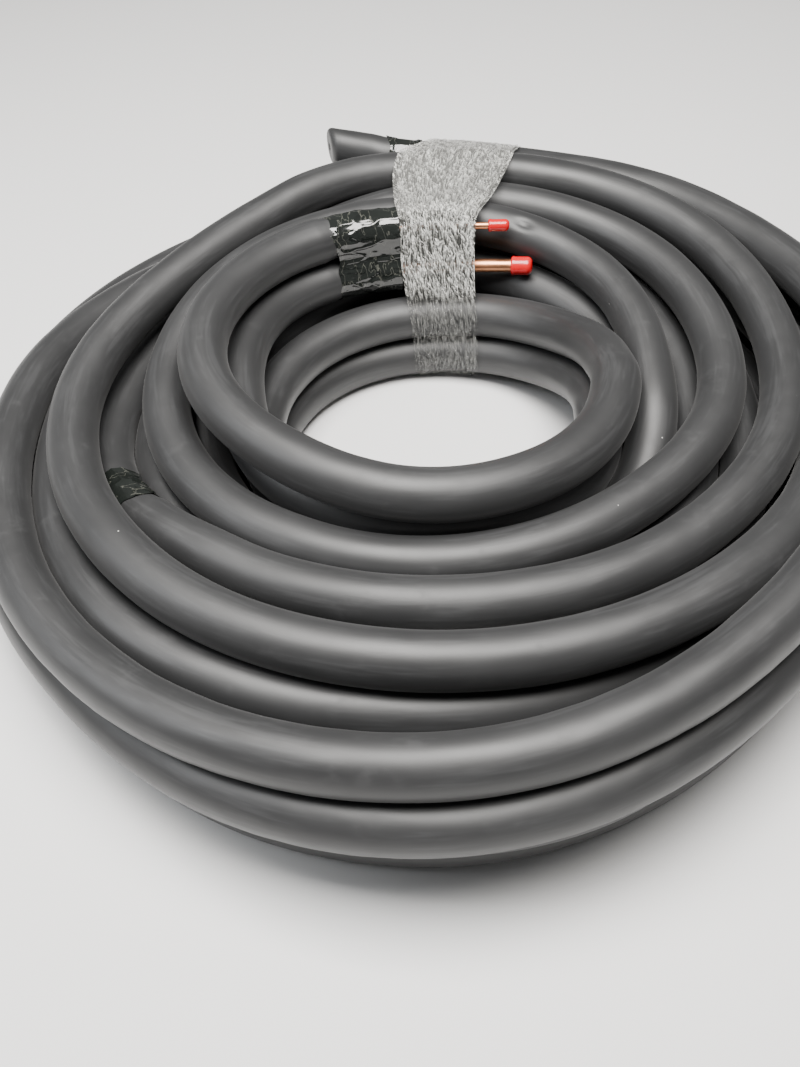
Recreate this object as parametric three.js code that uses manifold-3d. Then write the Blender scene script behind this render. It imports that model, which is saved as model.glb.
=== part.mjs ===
// A mini split line set: a pair of copper pipes in foam sleeves, wound by hand into one coil.
// Millimetres, +Z up. The coil lies flat; its origin is the middle of its box, on the floor.
import * as THREE from 'three';
import { mergeVertices } from 'three/addons/utils/BufferGeometryUtils.js';
import Module from 'manifold-3d';

const wasm = await Module();
wasm.setup();

// Driving sizes
const foamDiameter = 40;
const liquidPipeDiameter = 6.35;
const suctionPipeDiameter = 12.7;
const pipeWall = 0.8;
const boreRadius = 130;
const boreSlack = 4;
const layGap = 0.9;
const sleeveJointGap = 0.3;
const pipeClearance = 0.3;
const pipeSeat = 110;
const outerPipeRecess = 8;
const capWall = 2.2;
const capLength = 20;
const capReach = 15;
const capClearance = 0.2;
const tapeThickness = 0.5;
const tapeClearance = 0.3;
const neckDepth = 1.4;
const filmThickness = 0.7;
const filmClearance = 0.5;
const filmWidth = 94;
const filmWaist = 62;
const floorTurnGap = 1.5;

// Fineness of the meshes
const stepsPerTurn = 32;
const foamSides = 10;
const pipeSides = 12;
const filmSteps = 6;
const capSides = 14;
const pairTapeSides = 18;
const shortestFilmEdge = 2.5;
const settleRounds = 260;

// Sizes worked out from the driving ones
const foamRadius = foamDiameter / 2;
const pitch = foamDiameter + layGap;
const innerRadius = boreRadius + foamRadius;
const floorHeight = foamRadius * Math.cos(Math.PI / foamSides);
const filmLift = filmThickness + 2 * filmClearance;
const floorTurnStep = foamDiameter + floorTurnGap;

// Where things lie round the coil, in turns from the back, left first
const filmCentre = -9 / 360;
const innerEnd = 6 / 360;
const pairTapeEnd = 27 / 360;
const jointAt = 3 + 112 / 360;
const jointTapeSpan = 10 / 360;
const outerTapeSpan = 5.5 / 360;
const outerTapeSetback = 9 / 360;

// The lay of each line, eight places a turn: back, back left, left, front left, front, front right,
// right, back right. Each place is a radius beyond the innermost turn and a height over the floor
// turn, in foam pitches.
const liquidLay = [
  [0.86, 2.97], [1.03, 3.09], [0.93, 3.18], [0.44, 3.09], [0.42, 2.92], [0.29, 2.62], [0.15, 2.25], [0.29, 1.32],
  [0.15, 1.0], [0.05, 1.0], [0.0, 1.0], [0.0, 1.0], [0.07, 1.0], [1.03, 1.03], [0.93, 1.96], [1.67, 2.35],
  [1.94, 2.62], [2.21, 2.35], [2.01, 1.67], [1.4, 1.76], [1.08, 1.94], [1.42, 1.96], [2.5, 1.99], [3.16, 2.3],
  [2.84, 2.5], [3.08, 1.47], [3.19, 1.03], [2.16, 1.62], [2.21, 2.13], [2.75, 2.06], [3.82, 2.08], [4.53, 2.38],
  [3.6, 2.6], [2.88, 2.45], [3.56, 2.28], [3.7, 2.55], [3.7, 2.57], [4.02, 2.35], [4.58, 1.42], [4.78, 1.32],
  [4.53, 1.57], [4.11, 1.47], [4.06, 1.22], [4.44, 1.72], [4.04, 1.59], [4.04, 0.98], [4.36, 0.1], [4.41, 0.2],
  [4.66, 0.56], [4.89, 0.93], [5.0, 1.57], [5.34, 1.96], [5.69, 2.79], [5.03, 2.87], [5.29, 2.5], [5.29, 2.23],
  [5.28, 2.16], [9.2, 2.75],
];
const suctionLay = [
  [0.81, 1.94], [0.88, 2.06], [0.34, 2.13], [0.37, 2.11], [0.44, 1.94], [0.39, 1.67], [0.05, 1.32], [0.1, 0.37],
  [0.0, 0.0], [0.0, 0.0], [0.0, 0.0], [0.05, 0.0], [0.05, 0.0], [0.37, 0.1], [0.98, 0.93], [1.25, 1.4],
  [1.6, 1.47], [1.13, 1.13], [1.18, 0.98], [1.13, 0.98], [1.27, 0.93], [2.03, 1.03], [1.99, 1.03], [2.65, 1.37],
  [2.45, 1.57], [2.15, 1.08], [2.33, 0.69], [2.21, 0.69], [2.3, 1.03], [3.04, 1.03], [2.99, 1.03], [3.68, 1.03],
  [3.68, 1.03], [3.67, 0.59], [4.06, 0.0], [4.6, 0.74], [5.79, 0.91], [5.01, 0.91], [5.8, 0.69], [6.03, 0.39],
  [6.25, 0.25], [6.0, 0.44], [5.53, 0.83], [5.35, 0.91], [6.0, 1.84], [5.26, 1.86], [5.85, 1.67], [5.91, 1.37],
  [5.56, 1.18], [7.4, 1.5],
];
const floorLay = [
  [5.29, 0.0], [5.13, 0.0], [5.09, 0.0], [5.28, 0.0], [5.43, 0.0], [4.95, 0.0], [5.1, 0.0], [5.2, 0.0],
  [5.29, 0.0],
];
const placesPerTurn = 8;
const hiddenTurns = 3;
const liquidTurns = 7;
const suctionTurns = 6;
const liquidEnd = liquidTurns + 12.5 / 360;
const suctionEnd = suctionTurns + 10 / 360;

// Smooth value of a lay at a turn count, by a cubic through its places
function layAt(lay, turns) {
  const at = Math.max(0, turns * placesPerTurn);
  const i = Math.min(Math.floor(at), lay.length - 2);
  const t = at - i;
  const p = [i - 1, i, i + 1, i + 2].map((k) => lay[Math.min(Math.max(k, 0), lay.length - 1)]);
  return [0, 1].map((c) => 0.5 * (2 * p[1][c] + (p[2][c] - p[0][c]) * t
    + (2 * p[0][c] - 5 * p[1][c] + 4 * p[2][c] - p[3][c]) * t * t
    + (3 * p[1][c] - p[0][c] - 3 * p[2][c] + p[3][c]) * t * t * t));
}

// One line of foam as a row of points, a radius and a height at each step round the coil
function makeLine(lay, first, last) {
  const steps = [];
  for (let k = first; k <= last; k += 1) {
    const [column, row] = layAt(lay, k / stepsPerTurn);
    const radius = innerRadius + column * pitch;
    const height = floorHeight + row * pitch;
    steps.push({ k, r: radius, z: height, r0: radius, z0: height, dr: 0, dz: 0 });
  }
  return { steps };
}

// How far the floor turns are lifted where the film passes under them
function lift(k) {
  const away = (k / stepsPerTurn - filmCentre) % 1;
  const near = Math.min(Math.abs(away), Math.abs(away - 1), Math.abs(away + 1)) * 8;
  return near >= 1 ? 0 : filmLift * (0.5 + 0.5 * Math.cos(Math.PI * near)) ** 0.5;
}

// The hidden turns on the floor, at fixed places
const hiddenRadii = Array.from({ length: hiddenTurns }, (_, i) => innerRadius + floorTurnStep * (i + 1));
const hiddenHeight = floorHeight + filmLift;

// Pushes the lines apart until no two share the same space, and none is below the floor
function settle(lines) {
  const columns = Array.from({ length: stepsPerTurn }, () => []);
  lines.forEach((line) => line.steps.forEach((step) => columns[step.k % stepsPerTurn].push(step)));
  const pushApart = () => columns.forEach((column) => {
    for (let i = 0; i < column.length; i += 1) {
      const a = column[i];
      for (let j = i + 1; j < column.length; j += 1) {
        const b = column[j];
        const gap = Math.hypot(b.r - a.r, b.z - a.z);
        if (gap < pitch) {
          const push = (0.5 * (pitch - gap)) / gap;
          a.dr -= (b.r - a.r) * push;
          a.dz -= (b.z - a.z) * push;
          b.dr += (b.r - a.r) * push;
          b.dz += (b.z - a.z) * push;
        }
      }
      for (const radius of hiddenRadii) {
        const gap = Math.hypot(a.r - radius, a.z - hiddenHeight);
        if (gap < pitch) {
          a.dr += ((a.r - radius) * (pitch - gap)) / gap;
          a.dz += ((a.z - hiddenHeight) * (pitch - gap)) / gap;
        }
      }
    }
  });
  for (let round = 0; round < settleRounds; round += 1) {
    const free = Math.max(0, 1 - (1.25 * round) / settleRounds);
    for (const line of lines) {
      for (let i = 0; i < line.steps.length; i += 1) {
        const step = line.steps[i];
        const before = line.steps[Math.max(i - 1, 0)];
        const after = line.steps[Math.min(i + 1, line.steps.length - 1)];
        const bendR = 0.5 * (before.r - before.r0 + after.r - after.r0) - (step.r - step.r0);
        const bendZ = 0.5 * (before.z - before.z0 + after.z - after.z0) - (step.z - step.z0);
        step.dr = free * (0.5 * bendR + 0.02 * (step.r0 - step.r));
        step.dz = free * (0.5 * bendZ + 0.02 * (step.z0 - step.z));
      }
    }
    pushApart();
    for (const line of lines) {
      for (const step of line.steps) {
        step.r = Math.max(step.r + 0.8 * step.dr, innerRadius - boreSlack);
        step.z = Math.max(step.z + 0.8 * step.dz, floorHeight + lift(step.k));
      }
    }
  }
}

const liquid = makeLine(liquidLay, 0, liquidTurns * stepsPerTurn + 2);
const suction = makeLine(suctionLay, 0, suctionTurns * stepsPerTurn + 2);
const floorTurn = makeLine(floorLay, 0, stepsPerTurn - 1);
settle([liquid, suction, floorTurn]);
const [firstStep, lastStep] = [floorTurn.steps[0], floorTurn.steps[stepsPerTurn - 1]];
floorTurn.steps = [{ ...lastStep, k: -1 }, ...floorTurn.steps, { ...firstStep, k: stepsPerTurn }];

// A ring of a line: its centre, the way to the coil's middle, and its size against the full section
function ringAt(line, turns, size = 1) {
  const at = turns * stepsPerTurn - line.steps[0].k;
  const i = Math.min(Math.max(Math.floor(at), 0), line.steps.length - 2);
  const ring = { centre: new THREE.Vector3(), inward: new THREE.Vector3(), size };
  for (const [step, weight] of [[line.steps[i], 1 - (at - i)], [line.steps[i + 1], at - i]]) {
    const angle = Math.PI / 2 + (2 * Math.PI * step.k) / stepsPerTurn;
    const outward = new THREE.Vector3(Math.cos(angle), Math.sin(angle), 0);
    ring.centre.addScaledVector(outward, step.r * weight).add(new THREE.Vector3(0, 0, step.z * weight));
    ring.inward.addScaledVector(outward, -weight);
  }
  return ring;
}

// Turn counts of the rings from one place to another, every step of the coil between them included
function turnsBetween(from, to, extra = []) {
  const between = extra.filter((t) => t > from && t < to);
  for (let k = Math.ceil(from * stepsPerTurn); k <= to * stepsPerTurn; k += 1) between.push(k / stepsPerTurn);
  const inside = between.filter((t) => t - from > 0.0004 && to - t > 0.0004).sort((a, b) => a - b);
  return [from, ...inside.filter((t, i) => i === 0 || t - inside[i - 1] > 0.0004), to];
}

// A regular section with a flat facing down
function section(radius, sides) {
  return Array.from({ length: sides }, (_, i) => {
    const angle = -Math.PI / 2 + (Math.PI * (2 * i + 1)) / sides;
    return new THREE.Vector2(radius * Math.cos(angle), radius * Math.sin(angle));
  });
}

// Bends a straight extrusion of a section, with or without a hole, so that it passes through rings
function bend(outline, rings, hole = null) {
  const shape = new THREE.Shape(outline);
  if (hole) shape.holes.push(new THREE.Path(hole));
  const count = rings.length - 1;
  const geometry = new THREE.ExtrudeGeometry(shape, { depth: count, steps: count, bevelEnabled: false });
  const up = new THREE.Vector3(0, 0, 1);
  const position = geometry.attributes.position;
  const point = new THREE.Vector3();
  for (let i = 0; i < position.count; i += 1) {
    const ring = rings[Math.round(position.getZ(i))];
    point.copy(ring.centre).addScaledVector(ring.inward, position.getX(i) * ring.size);
    point.addScaledVector(ring.up ?? up, position.getY(i) * ring.size);
    position.setXYZ(i, point.x, point.y, point.z);
  }
  return geometry;
}

// A closed mesh as a solid that can be cut, and a solid as a mesh again
function toSolid(geometry) {
  const bare = geometry.clone();
  bare.deleteAttribute('normal');
  bare.deleteAttribute('uv');
  const merged = mergeVertices(bare, 1e-4);
  return new wasm.Manifold(new wasm.Mesh({
    numProp: 3,
    vertProperties: new Float32Array(merged.attributes.position.array),
    triVerts: new Uint32Array(merged.index.array),
  }));
}

function toGeometry(solid) {
  const mesh = solid.getMesh();
  const geometry = new THREE.BufferGeometry();
  geometry.setAttribute('position', new THREE.BufferAttribute(mesh.vertProperties, 3));
  geometry.setIndex(new THREE.BufferAttribute(mesh.triVerts, 1));
  geometry.computeVertexNormals();
  return geometry;
}

// Materials
const foamFinish = new THREE.MeshStandardMaterial({ color: 0x3c3d3f, roughness: 0.75, metalness: 0 });
const copperFinish = new THREE.MeshStandardMaterial({ color: 0xc8825f, roughness: 0.3, metalness: 1 });
const capFinish = new THREE.MeshStandardMaterial({ color: 0xe11e23, roughness: 0.3, metalness: 0 });
const tapeFinish = new THREE.MeshStandardMaterial({ color: 0x101211, roughness: 0.2, metalness: 0 });
const filmFinish = new THREE.MeshStandardMaterial({ color: 0xd8dad4, roughness: 0.25, metalness: 0 });

const coil = new THREE.Group();

function addPiece(name, geometry, material) {
  const mesh = new THREE.Mesh(geometry, material);
  mesh.name = name;
  coil.add(mesh);
  return mesh;
}

// Foam sleeves

const neckRadius = foamRadius - neckDepth;
const foamOutline = section(foamRadius, foamSides);
const jointTurns = sleeveJointGap / (2 * Math.PI * innerRadius);
const neckRamp = 2.5 / 360;

// Size of a sleeve at a place: tape presses the foam in a little
function sleeveSize(turns, tapes) {
  const pressed = tapes.some(([from, to]) => turns >= from && turns <= to);
  return pressed ? neckRadius / foamRadius : 1;
}

function sleeveRings(line, from, to, tapes) {
  const edges = tapes.flatMap(([a, b]) => [a - neckRamp, a, b, b + neckRamp]);
  return turnsBetween(from, to, edges).map((t) => ringAt(line, t, sleeveSize(t, tapes)));
}

// Cuts one line into sleeves where its joints are, and bores the sleeves that a pipe end lies in
function makeSleeves(prefix, line, cuts, tapes, bores) {
  for (let i = 0; i + 1 < cuts.length; i += 1) {
    const from = cuts[i] + (i === 0 ? 0 : jointTurns / 2);
    const to = cuts[i + 1] - (i + 2 === cuts.length ? 0 : jointTurns / 2);
    let geometry = bend(foamOutline, sleeveRings(line, from, to, tapes));
    for (const bore of bores.filter((b) => b.sleeve === i)) {
      geometry = toGeometry(toSolid(geometry).subtract(toSolid(bore.geometry)));
    }
    addPiece(`${prefix}_${i + 1}`, geometry, foamFinish);
  }
}

const jointTape = [jointAt - jointTapeSpan / 2, jointAt + jointTapeSpan / 2];
const pairTape = [innerEnd, pairTapeEnd];
const outerTape = [liquidEnd - outerTapeSpan - outerTapeSetback, liquidEnd - outerTapeSetback];

// Sleeves end under the film, but for the taped joint and the open ends
const underFilm = (turns) => Array.from({ length: turns }, (_, i) => i + 1 + filmCentre);
const liquidCuts = [innerEnd, ...underFilm(liquidTurns), jointAt, liquidEnd].sort((a, b) => a - b);
const suctionCuts = [innerEnd, ...underFilm(suctionTurns), suctionEnd];

// How many turns a length takes at a place on a line
const turnsOf = (length, line, turns) => length / (2 * Math.PI * ringAt(line, turns).centre.setZ(0).length());

// Room for a pipe end in its sleeve, from an open end inwards
function boreFor(line, open, sleeve, diameter, way) {
  const deep = open + way * turnsOf(pipeSeat + pipeClearance, line, open);
  const mouth = open - way * 1.5 / 360;
  const turns = turnsBetween(Math.min(mouth, deep), Math.max(mouth, deep));
  const radius = (diameter / 2 + pipeClearance) / Math.cos(Math.PI / pipeSides);
  return { sleeve, geometry: bend(section(radius, pipeSides), turns.map((t) => ringAt(line, t))) };
}

makeSleeves('foam_sleeve_liquid', liquid, liquidCuts, [pairTape, jointTape, outerTape], [
  boreFor(liquid, innerEnd, 0, liquidPipeDiameter, 1),
  boreFor(liquid, liquidEnd, liquidCuts.length - 2, liquidPipeDiameter, -1),
]);
makeSleeves('foam_sleeve_suction', suction, suctionCuts, [pairTape], [
  boreFor(suction, innerEnd, 0, suctionPipeDiameter, 1),
  boreFor(suction, suctionEnd, suctionCuts.length - 2, suctionPipeDiameter, -1),
]);

// The outermost turn on the floor, both its ends under the film
const floorTurns = turnsBetween(filmCentre + jointTurns / 2, 1 + filmCentre - jointTurns / 2);
addPiece('foam_sleeve_floor', bend(foamOutline, floorTurns.map((t) => ringAt(floorTurn, t))), foamFinish);

// Hidden floor turns: one turned solid, with its turns on its top and under it
function hiddenProfile() {
  const row = (from, to, order) => order.flatMap((radius) => {
    const arc = [];
    for (let i = from; i <= to; i += 1) {
      const angle = (2 * Math.PI * i) / foamSides;
      arc.push(new THREE.Vector2(radius + foamRadius * Math.cos(angle), hiddenHeight + foamRadius * Math.sin(angle)));
    }
    return arc;
  });
  const last = foamSides / 2 - 1;
  const under = row(-last, -1, hiddenRadii);
  const over = row(1, last, [...hiddenRadii].reverse());
  return [...under, ...over, under[0]];
}
const hidden = new THREE.LatheGeometry(hiddenProfile(), stepsPerTurn);
hidden.rotateX(Math.PI / 2);
addPiece('hidden_floor_turns', hidden, foamFinish);

// Copper pipe ends

// The way a pipe stub runs: out of its sleeve at the coil's inner end, round a soft bend, and straight to the end
function stubCourse(line, end, diameter) {
  const exit = ringAt(line, innerEnd);
  const along = new THREE.Vector3(0, 0, 1).cross(exit.inward).multiplyScalar(-1);
  const bendPoint = exit.centre.clone().addScaledVector(along, -3 * diameter);
  const axis = end.clone().sub(bendPoint).normalize();
  const tip = end.clone().addScaledVector(axis, capReach - capLength);
  const start = tip.clone().addScaledVector(axis, -capReach - 3);
  return { tip, axis, curve: new THREE.QuadraticBezierCurve3(start, bendPoint, exit.centre) };
}

// Rings of a pipe end, from its tip to its seat deep in the sleeve
function stubRings(line, course) {
  const deep = innerEnd + turnsOf(pipeSeat, line, innerEnd);
  const inside = turnsBetween(innerEnd, deep).map((t) => ringAt(line, t));
  const ring = (centre, way) => {
    const inward = new THREE.Vector3(0, 0, 1).cross(way).normalize();
    return { centre, inward, up: way.clone().cross(inward), size: 1 };
  };
  const bent = [0, 0.35, 0.6, 0.8].map((t) => ring(course.curve.getPoint(t), course.curve.getTangent(t)));
  return [ring(course.tip, course.axis.clone().negate()), ...bent, ...inside];
}

const pipeOutline = (diameter) => section(diameter / 2, pipeSides);
const pipeHole = (diameter) => section(diameter / 2 - pipeWall, pipeSides);

// A red vinyl cap: a cup with a round closed end, over the tip of a pipe
function capProfile(diameter) {
  const inside = diameter / 2 + capClearance;
  const outside = inside + capWall;
  const round = Math.min(outside * 0.75, capLength - capReach);
  const points = [[0, capReach + capClearance], [inside, capReach + capClearance], [inside, 0], [outside, 0]];
  for (let i = 0; i <= 4; i += 1) {
    const angle = (Math.PI / 8) * i;
    const across = i === 4 ? 0 : outside - round + round * Math.cos(angle);
    points.push([across, capLength - round + round * Math.sin(angle)]);
  }
  return points.map(([x, y]) => new THREE.Vector2(x, y));
}

// The place of a cap's closed end, from a turn count, a column and a row of the lay
function layPlace(turns, column, row) {
  const angle = Math.PI / 2 + 2 * Math.PI * turns;
  const radius = innerRadius + column * pitch;
  return new THREE.Vector3(radius * Math.cos(angle), radius * Math.sin(angle), floorHeight + row * pitch);
}

function addCappedEnd(kind, line, end, diameter) {
  const course = stubCourse(line, end, diameter);
  const pipe = bend(pipeOutline(diameter), stubRings(line, course), pipeHole(diameter));
  addPiece(`copper_pipe_${kind}_inner_end`, pipe, copperFinish);
  const cap = new THREE.LatheGeometry(capProfile(diameter), capSides);
  cap.applyQuaternion(new THREE.Quaternion().setFromUnitVectors(new THREE.Vector3(0, 1, 0), course.axis));
  const mouth = course.tip.clone().addScaledVector(course.axis, -capReach);
  cap.translate(mouth.x, mouth.y, mouth.z);
  addPiece(`cap_${kind}`, cap, capFinish);
}

addCappedEnd('liquid', liquid, layPlace(-26 / 360, 1.17, 3.08), liquidPipeDiameter);
addCappedEnd('suction', suction, layPlace(-34 / 360, 1.08, 2.22), suctionPipeDiameter);

// A pipe end just inside its sleeve at the coil's outer end
function addOuterEnd(kind, line, open, diameter) {
  const from = open - turnsOf(pipeSeat, line, open);
  const to = open - turnsOf(outerPipeRecess, line, open);
  const rings = turnsBetween(from, to).map((t) => ringAt(line, t));
  addPiece(`copper_pipe_${kind}_outer_end`, bend(pipeOutline(diameter), rings, pipeHole(diameter)), copperFinish);
}

addOuterEnd('liquid', liquid, liquidEnd, liquidPipeDiameter);
addOuterEnd('suction', suction, suctionEnd, suctionPipeDiameter);

// Tapes

const tapeInside = neckRadius + tapeClearance / Math.cos(Math.PI / foamSides);
const tapeOutside = tapeInside + tapeThickness / Math.cos(Math.PI / foamSides);

function addTape(name, line, [from, to]) {
  const rings = turnsBetween(from, to).map((t) => ringAt(line, t));
  addPiece(name, bend(section(tapeOutside, foamSides), rings, section(tapeInside, foamSides)), tapeFinish);
}

addTape('joint_tape', liquid, jointTape);
addTape('outer_end_tape', liquid, outerTape);

// Bends a straight extrusion of a thin ring so that its corners pass through rows of points
function wrap(rows) {
  const sides = rows[0].outer.length;
  const hole = 0.5 + 0.5 * Math.cos((2 * Math.PI) / sides);
  const corners = (radius) => Array.from({ length: sides }, (_, i) => {
    const angle = (2 * Math.PI * i) / sides;
    return new THREE.Vector2(radius * Math.cos(angle), radius * Math.sin(angle));
  });
  const shape = new THREE.Shape(corners(1));
  shape.holes.push(new THREE.Path(corners(hole)));
  const count = rows.length - 1;
  const geometry = new THREE.ExtrudeGeometry(shape, { depth: count, steps: count, bevelEnabled: false });
  const position = geometry.attributes.position;
  for (let i = 0; i < position.count; i += 1) {
    const [x, y] = [position.getX(i), position.getY(i)];
    const corner = (Math.round((Math.atan2(y, x) * sides) / (2 * Math.PI)) + sides) % sides;
    const row = rows[Math.round(position.getZ(i))];
    const point = (Math.hypot(x, y) > (1 + hole) / 2 ? row.outer : row.inner)[corner];
    position.setXYZ(i, point.x, point.y, point.z);
  }
  return geometry;
}

// The tape round both sleeves at the inner end: a long round hull in each ring
function pairRow(turns) {
  const a = ringAt(liquid, turns);
  const b = ringAt(suction, turns);
  const up = new THREE.Vector3(0, 0, 1);
  const apart = b.centre.clone().sub(a.centre);
  const axis = new THREE.Vector2(apart.dot(a.inward) / a.inward.lengthSq(), apart.z);
  const heading = axis.angle();
  const trace = (radius) => Array.from({ length: pairTapeSides }, (_, i) => {
    const turn = (2 * Math.PI * (i + 0.5)) / pairTapeSides - Math.PI / 2;
    const centre = i < pairTapeSides / 2 ? b.centre : a.centre;
    const across = radius * Math.cos(heading + turn);
    return centre.clone().addScaledVector(a.inward, across).addScaledVector(up, radius * Math.sin(heading + turn));
  });
  const sag = Math.cos(Math.PI / pairTapeSides);
  const inside = (neckRadius + tapeClearance) / sag;
  return { inner: trace(inside), outer: trace(inside + tapeThickness / sag) };
}
const pairTurns = turnsBetween(pairTape[0], pairTape[1]);
addPiece('inner_end_tape', wrap(pairTurns.map(pairRow)), tapeFinish);

// Stretch film: a tight hull round the whole bundle, at one place of the coil

// Corners of every line's section near the film, as radius and height
function bundleCorners() {
  const reach = (filmWidth / (4 * Math.PI * innerRadius)) * 1.1;
  const corners = [];
  const spans = [[liquid, innerEnd, liquidEnd], [suction, innerEnd, suctionEnd], [floorTurn, filmCentre, 1 + filmCentre]];
  for (const [line, start, end] of spans) {
    for (let turn = 0; turn <= Math.ceil(end); turn += 1) {
      for (let share = -1; share <= 1; share += 0.1) {
        const at = turn + filmCentre + reach * share;
        if (at >= start && at <= end) {
          const ring = ringAt(line, at);
          const radius = ring.centre.clone().setZ(0).length();
          foamOutline.forEach((p) => corners.push(new THREE.Vector2(radius - p.x, ring.centre.z + p.y)));
        }
      }
    }
  }
  return corners;
}

// Convex hull of points, counter-clockwise, corners closer than a gap left out
function convexHull(points, gap) {
  const sorted = [...points].sort((p, q) => p.x - q.x || p.y - q.y);
  const cross = (o, p, q) => (p.x - o.x) * (q.y - o.y) - (p.y - o.y) * (q.x - o.x);
  const half = (row) => {
    const chain = [];
    for (const p of row) {
      while (chain.length > 1 && cross(chain[chain.length - 2], chain[chain.length - 1], p) <= 0) chain.pop();
      chain.push(p);
    }
    return chain.slice(0, -1);
  };
  const hull = [...half(sorted), ...half([...sorted].reverse())];
  return hull.filter((p, i) => p.distanceTo(hull[(i + 1) % hull.length]) > gap);
}

// A closed outline moved outwards by a distance, corner by corner
function offsetOutline(outline, distance) {
  return outline.map((p, i) => {
    const before = outline[(i + outline.length - 1) % outline.length];
    const after = outline[(i + 1) % outline.length];
    const normal = (a, b) => new THREE.Vector2(b.y - a.y, a.x - b.x).normalize();
    const [m, n] = [normal(before, p), normal(p, after)];
    return p.clone().addScaledVector(m.clone().add(n), distance / (1 + m.dot(n)));
  });
}

const filmHull = convexHull(bundleCorners(), shortestFilmEdge);
const filmInside = offsetOutline(filmHull, filmClearance).reverse();
const filmOutside = offsetOutline(filmHull, filmClearance + filmThickness).reverse();

function filmRow(share) {
  const place = (p) => {
    const spread = THREE.MathUtils.smoothstep(p.x, boreRadius, boreRadius + 2 * pitch);
    const half = THREE.MathUtils.lerp(filmWaist, filmWidth, spread) / 2;
    const angle = Math.PI / 2 + 2 * Math.PI * filmCentre + (share * half) / p.x;
    return new THREE.Vector3(p.x * Math.cos(angle), p.x * Math.sin(angle), p.y);
  };
  return { inner: filmInside.map(place), outer: filmOutside.map(place) };
}
const filmShares = Array.from({ length: filmSteps + 1 }, (_, i) => (2 * i) / filmSteps - 1);
addPiece('stretch_film', wrap(filmShares.map(filmRow)), filmFinish);

// The origin is the middle of the coil's box, on the floor
const box = new THREE.Box3().setFromObject(coil, true);
coil.position.set(-(box.min.x + box.max.x) / 2, -(box.min.y + box.max.y) / 2, -box.min.z);

export default coil;
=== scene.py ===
"""Looks of a coiled mini split line set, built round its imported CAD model.

The foam sleeves, tapes, film, copper ends and caps are swept surfaces. Each sleeve follows the centre line
that is read from its CAD nodes, so the scene keeps to the frame when the coil changes. Lengths are metres.
"""

import logging
import math
from dataclasses import dataclass
from enum import Enum

import bpy
import numpy as np
from mathutils import Matrix, Vector


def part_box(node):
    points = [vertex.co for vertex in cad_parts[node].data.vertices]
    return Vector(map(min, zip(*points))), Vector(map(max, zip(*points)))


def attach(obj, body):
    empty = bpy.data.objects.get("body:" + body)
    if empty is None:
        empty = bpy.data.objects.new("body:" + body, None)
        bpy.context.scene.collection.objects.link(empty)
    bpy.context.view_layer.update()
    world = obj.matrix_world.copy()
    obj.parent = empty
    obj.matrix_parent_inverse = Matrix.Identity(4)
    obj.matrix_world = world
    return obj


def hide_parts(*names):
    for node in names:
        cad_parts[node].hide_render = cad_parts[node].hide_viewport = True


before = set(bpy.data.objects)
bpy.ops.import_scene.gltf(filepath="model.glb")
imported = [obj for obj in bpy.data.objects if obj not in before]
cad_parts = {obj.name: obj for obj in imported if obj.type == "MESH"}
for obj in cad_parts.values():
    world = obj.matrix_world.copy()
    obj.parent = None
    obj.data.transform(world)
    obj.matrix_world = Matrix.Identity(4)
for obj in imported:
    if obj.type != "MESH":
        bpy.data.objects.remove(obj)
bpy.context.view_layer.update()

LOG = logging.getLogger("line_set")

# Sizes and places that the CAD source holds too; places are in turns from the back of the coil
STATIONS = 32
FOAM_RADIUS = 0.020
PITCH = 0.0409
INNER_RADIUS = 0.150
LIQUID_DIAMETER = 0.00635
SUCTION_DIAMETER = 0.0127
PIPE_WALL = 0.0008
PIPE_RECESS = 0.008
CAP_WALL = 0.0022
CAP_LENGTH = 0.020
CAP_REACH = 0.015
CAP_CLEARANCE = 0.0002
NECK_DEPTH = 0.0014
TAPE_CLEARANCE = 0.0003
TAPE_THICKNESS = 0.0005
FILM_CENTRE = -9 / 360
INNER_END = 6 / 360
PAIR_TAPE_END = 27 / 360
JOINT_AT = 3 + 112 / 360
JOINT_TAPE_SPAN = 10 / 360
LIQUID_TURNS = 7
SUCTION_TURNS = 6
LIQUID_END = LIQUID_TURNS + 12.5 / 360
SUCTION_END = SUCTION_TURNS + 10 / 360
OUTER_TAPE_SPAN = 5.5 / 360
OUTER_TAPE_SETBACK = 9 / 360
NECK_RAMP = 2.5 / 360
HIDDEN_STEP = 0.0415
HIDDEN_TURNS = 3
LIQUID_STUB_END = (-26 / 360, 1.17, 3.08)
SUCTION_STUB_END = (-34 / 360, 1.08, 2.22)
STUBS = (("liquid", LIQUID_STUB_END, LIQUID_DIAMETER), ("suction", SUCTION_STUB_END, SUCTION_DIAMETER))

# How finely the surfaces are made
FOAM_STEP = 0.006
MARKED_STEP = 0.0025
FOAM_SIDES = 40
TAPE_STEP = 0.0012
PAIR_TAPE_DIP = 0.004
TAPE_FOLD = 0.0017
PAIR_TAPE_FOLD = 0.0014
END_ROUNDING = 0.0062
END_RINGS = 7
HIDDEN_RINGS = 161
HIDDEN_SIDES = 24
FILM_COLUMNS = 74
FILM_FOLD = 0.0011
RING_TOLERANCE = 0.3 / 360

# Each layer of film: how far it stands off the foam, how far in its edges lie, and its random seed
FILM_LAYERS = ((0.0012, 0.0, 5), (0.0020, 0.05, 12))

# Foam that presses on its neighbours is a little fuller than the CAD section
FOAM_FULLNESS = 1.035
PRESS_SHARPNESS = 44

# The camera that fits the photograph, placed from the middle of the bore on the floor
CAMERA_PLACE = (-0.0313, -0.6837, 0.6832)
CAMERA_PITCH = 0.845
CAMERA_ROLL = -0.049
FOCAL_PIXELS = 1027.3
IMAGE_HEIGHT = 1067
SENSOR_MM = 36.0

Array = np.ndarray


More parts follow.
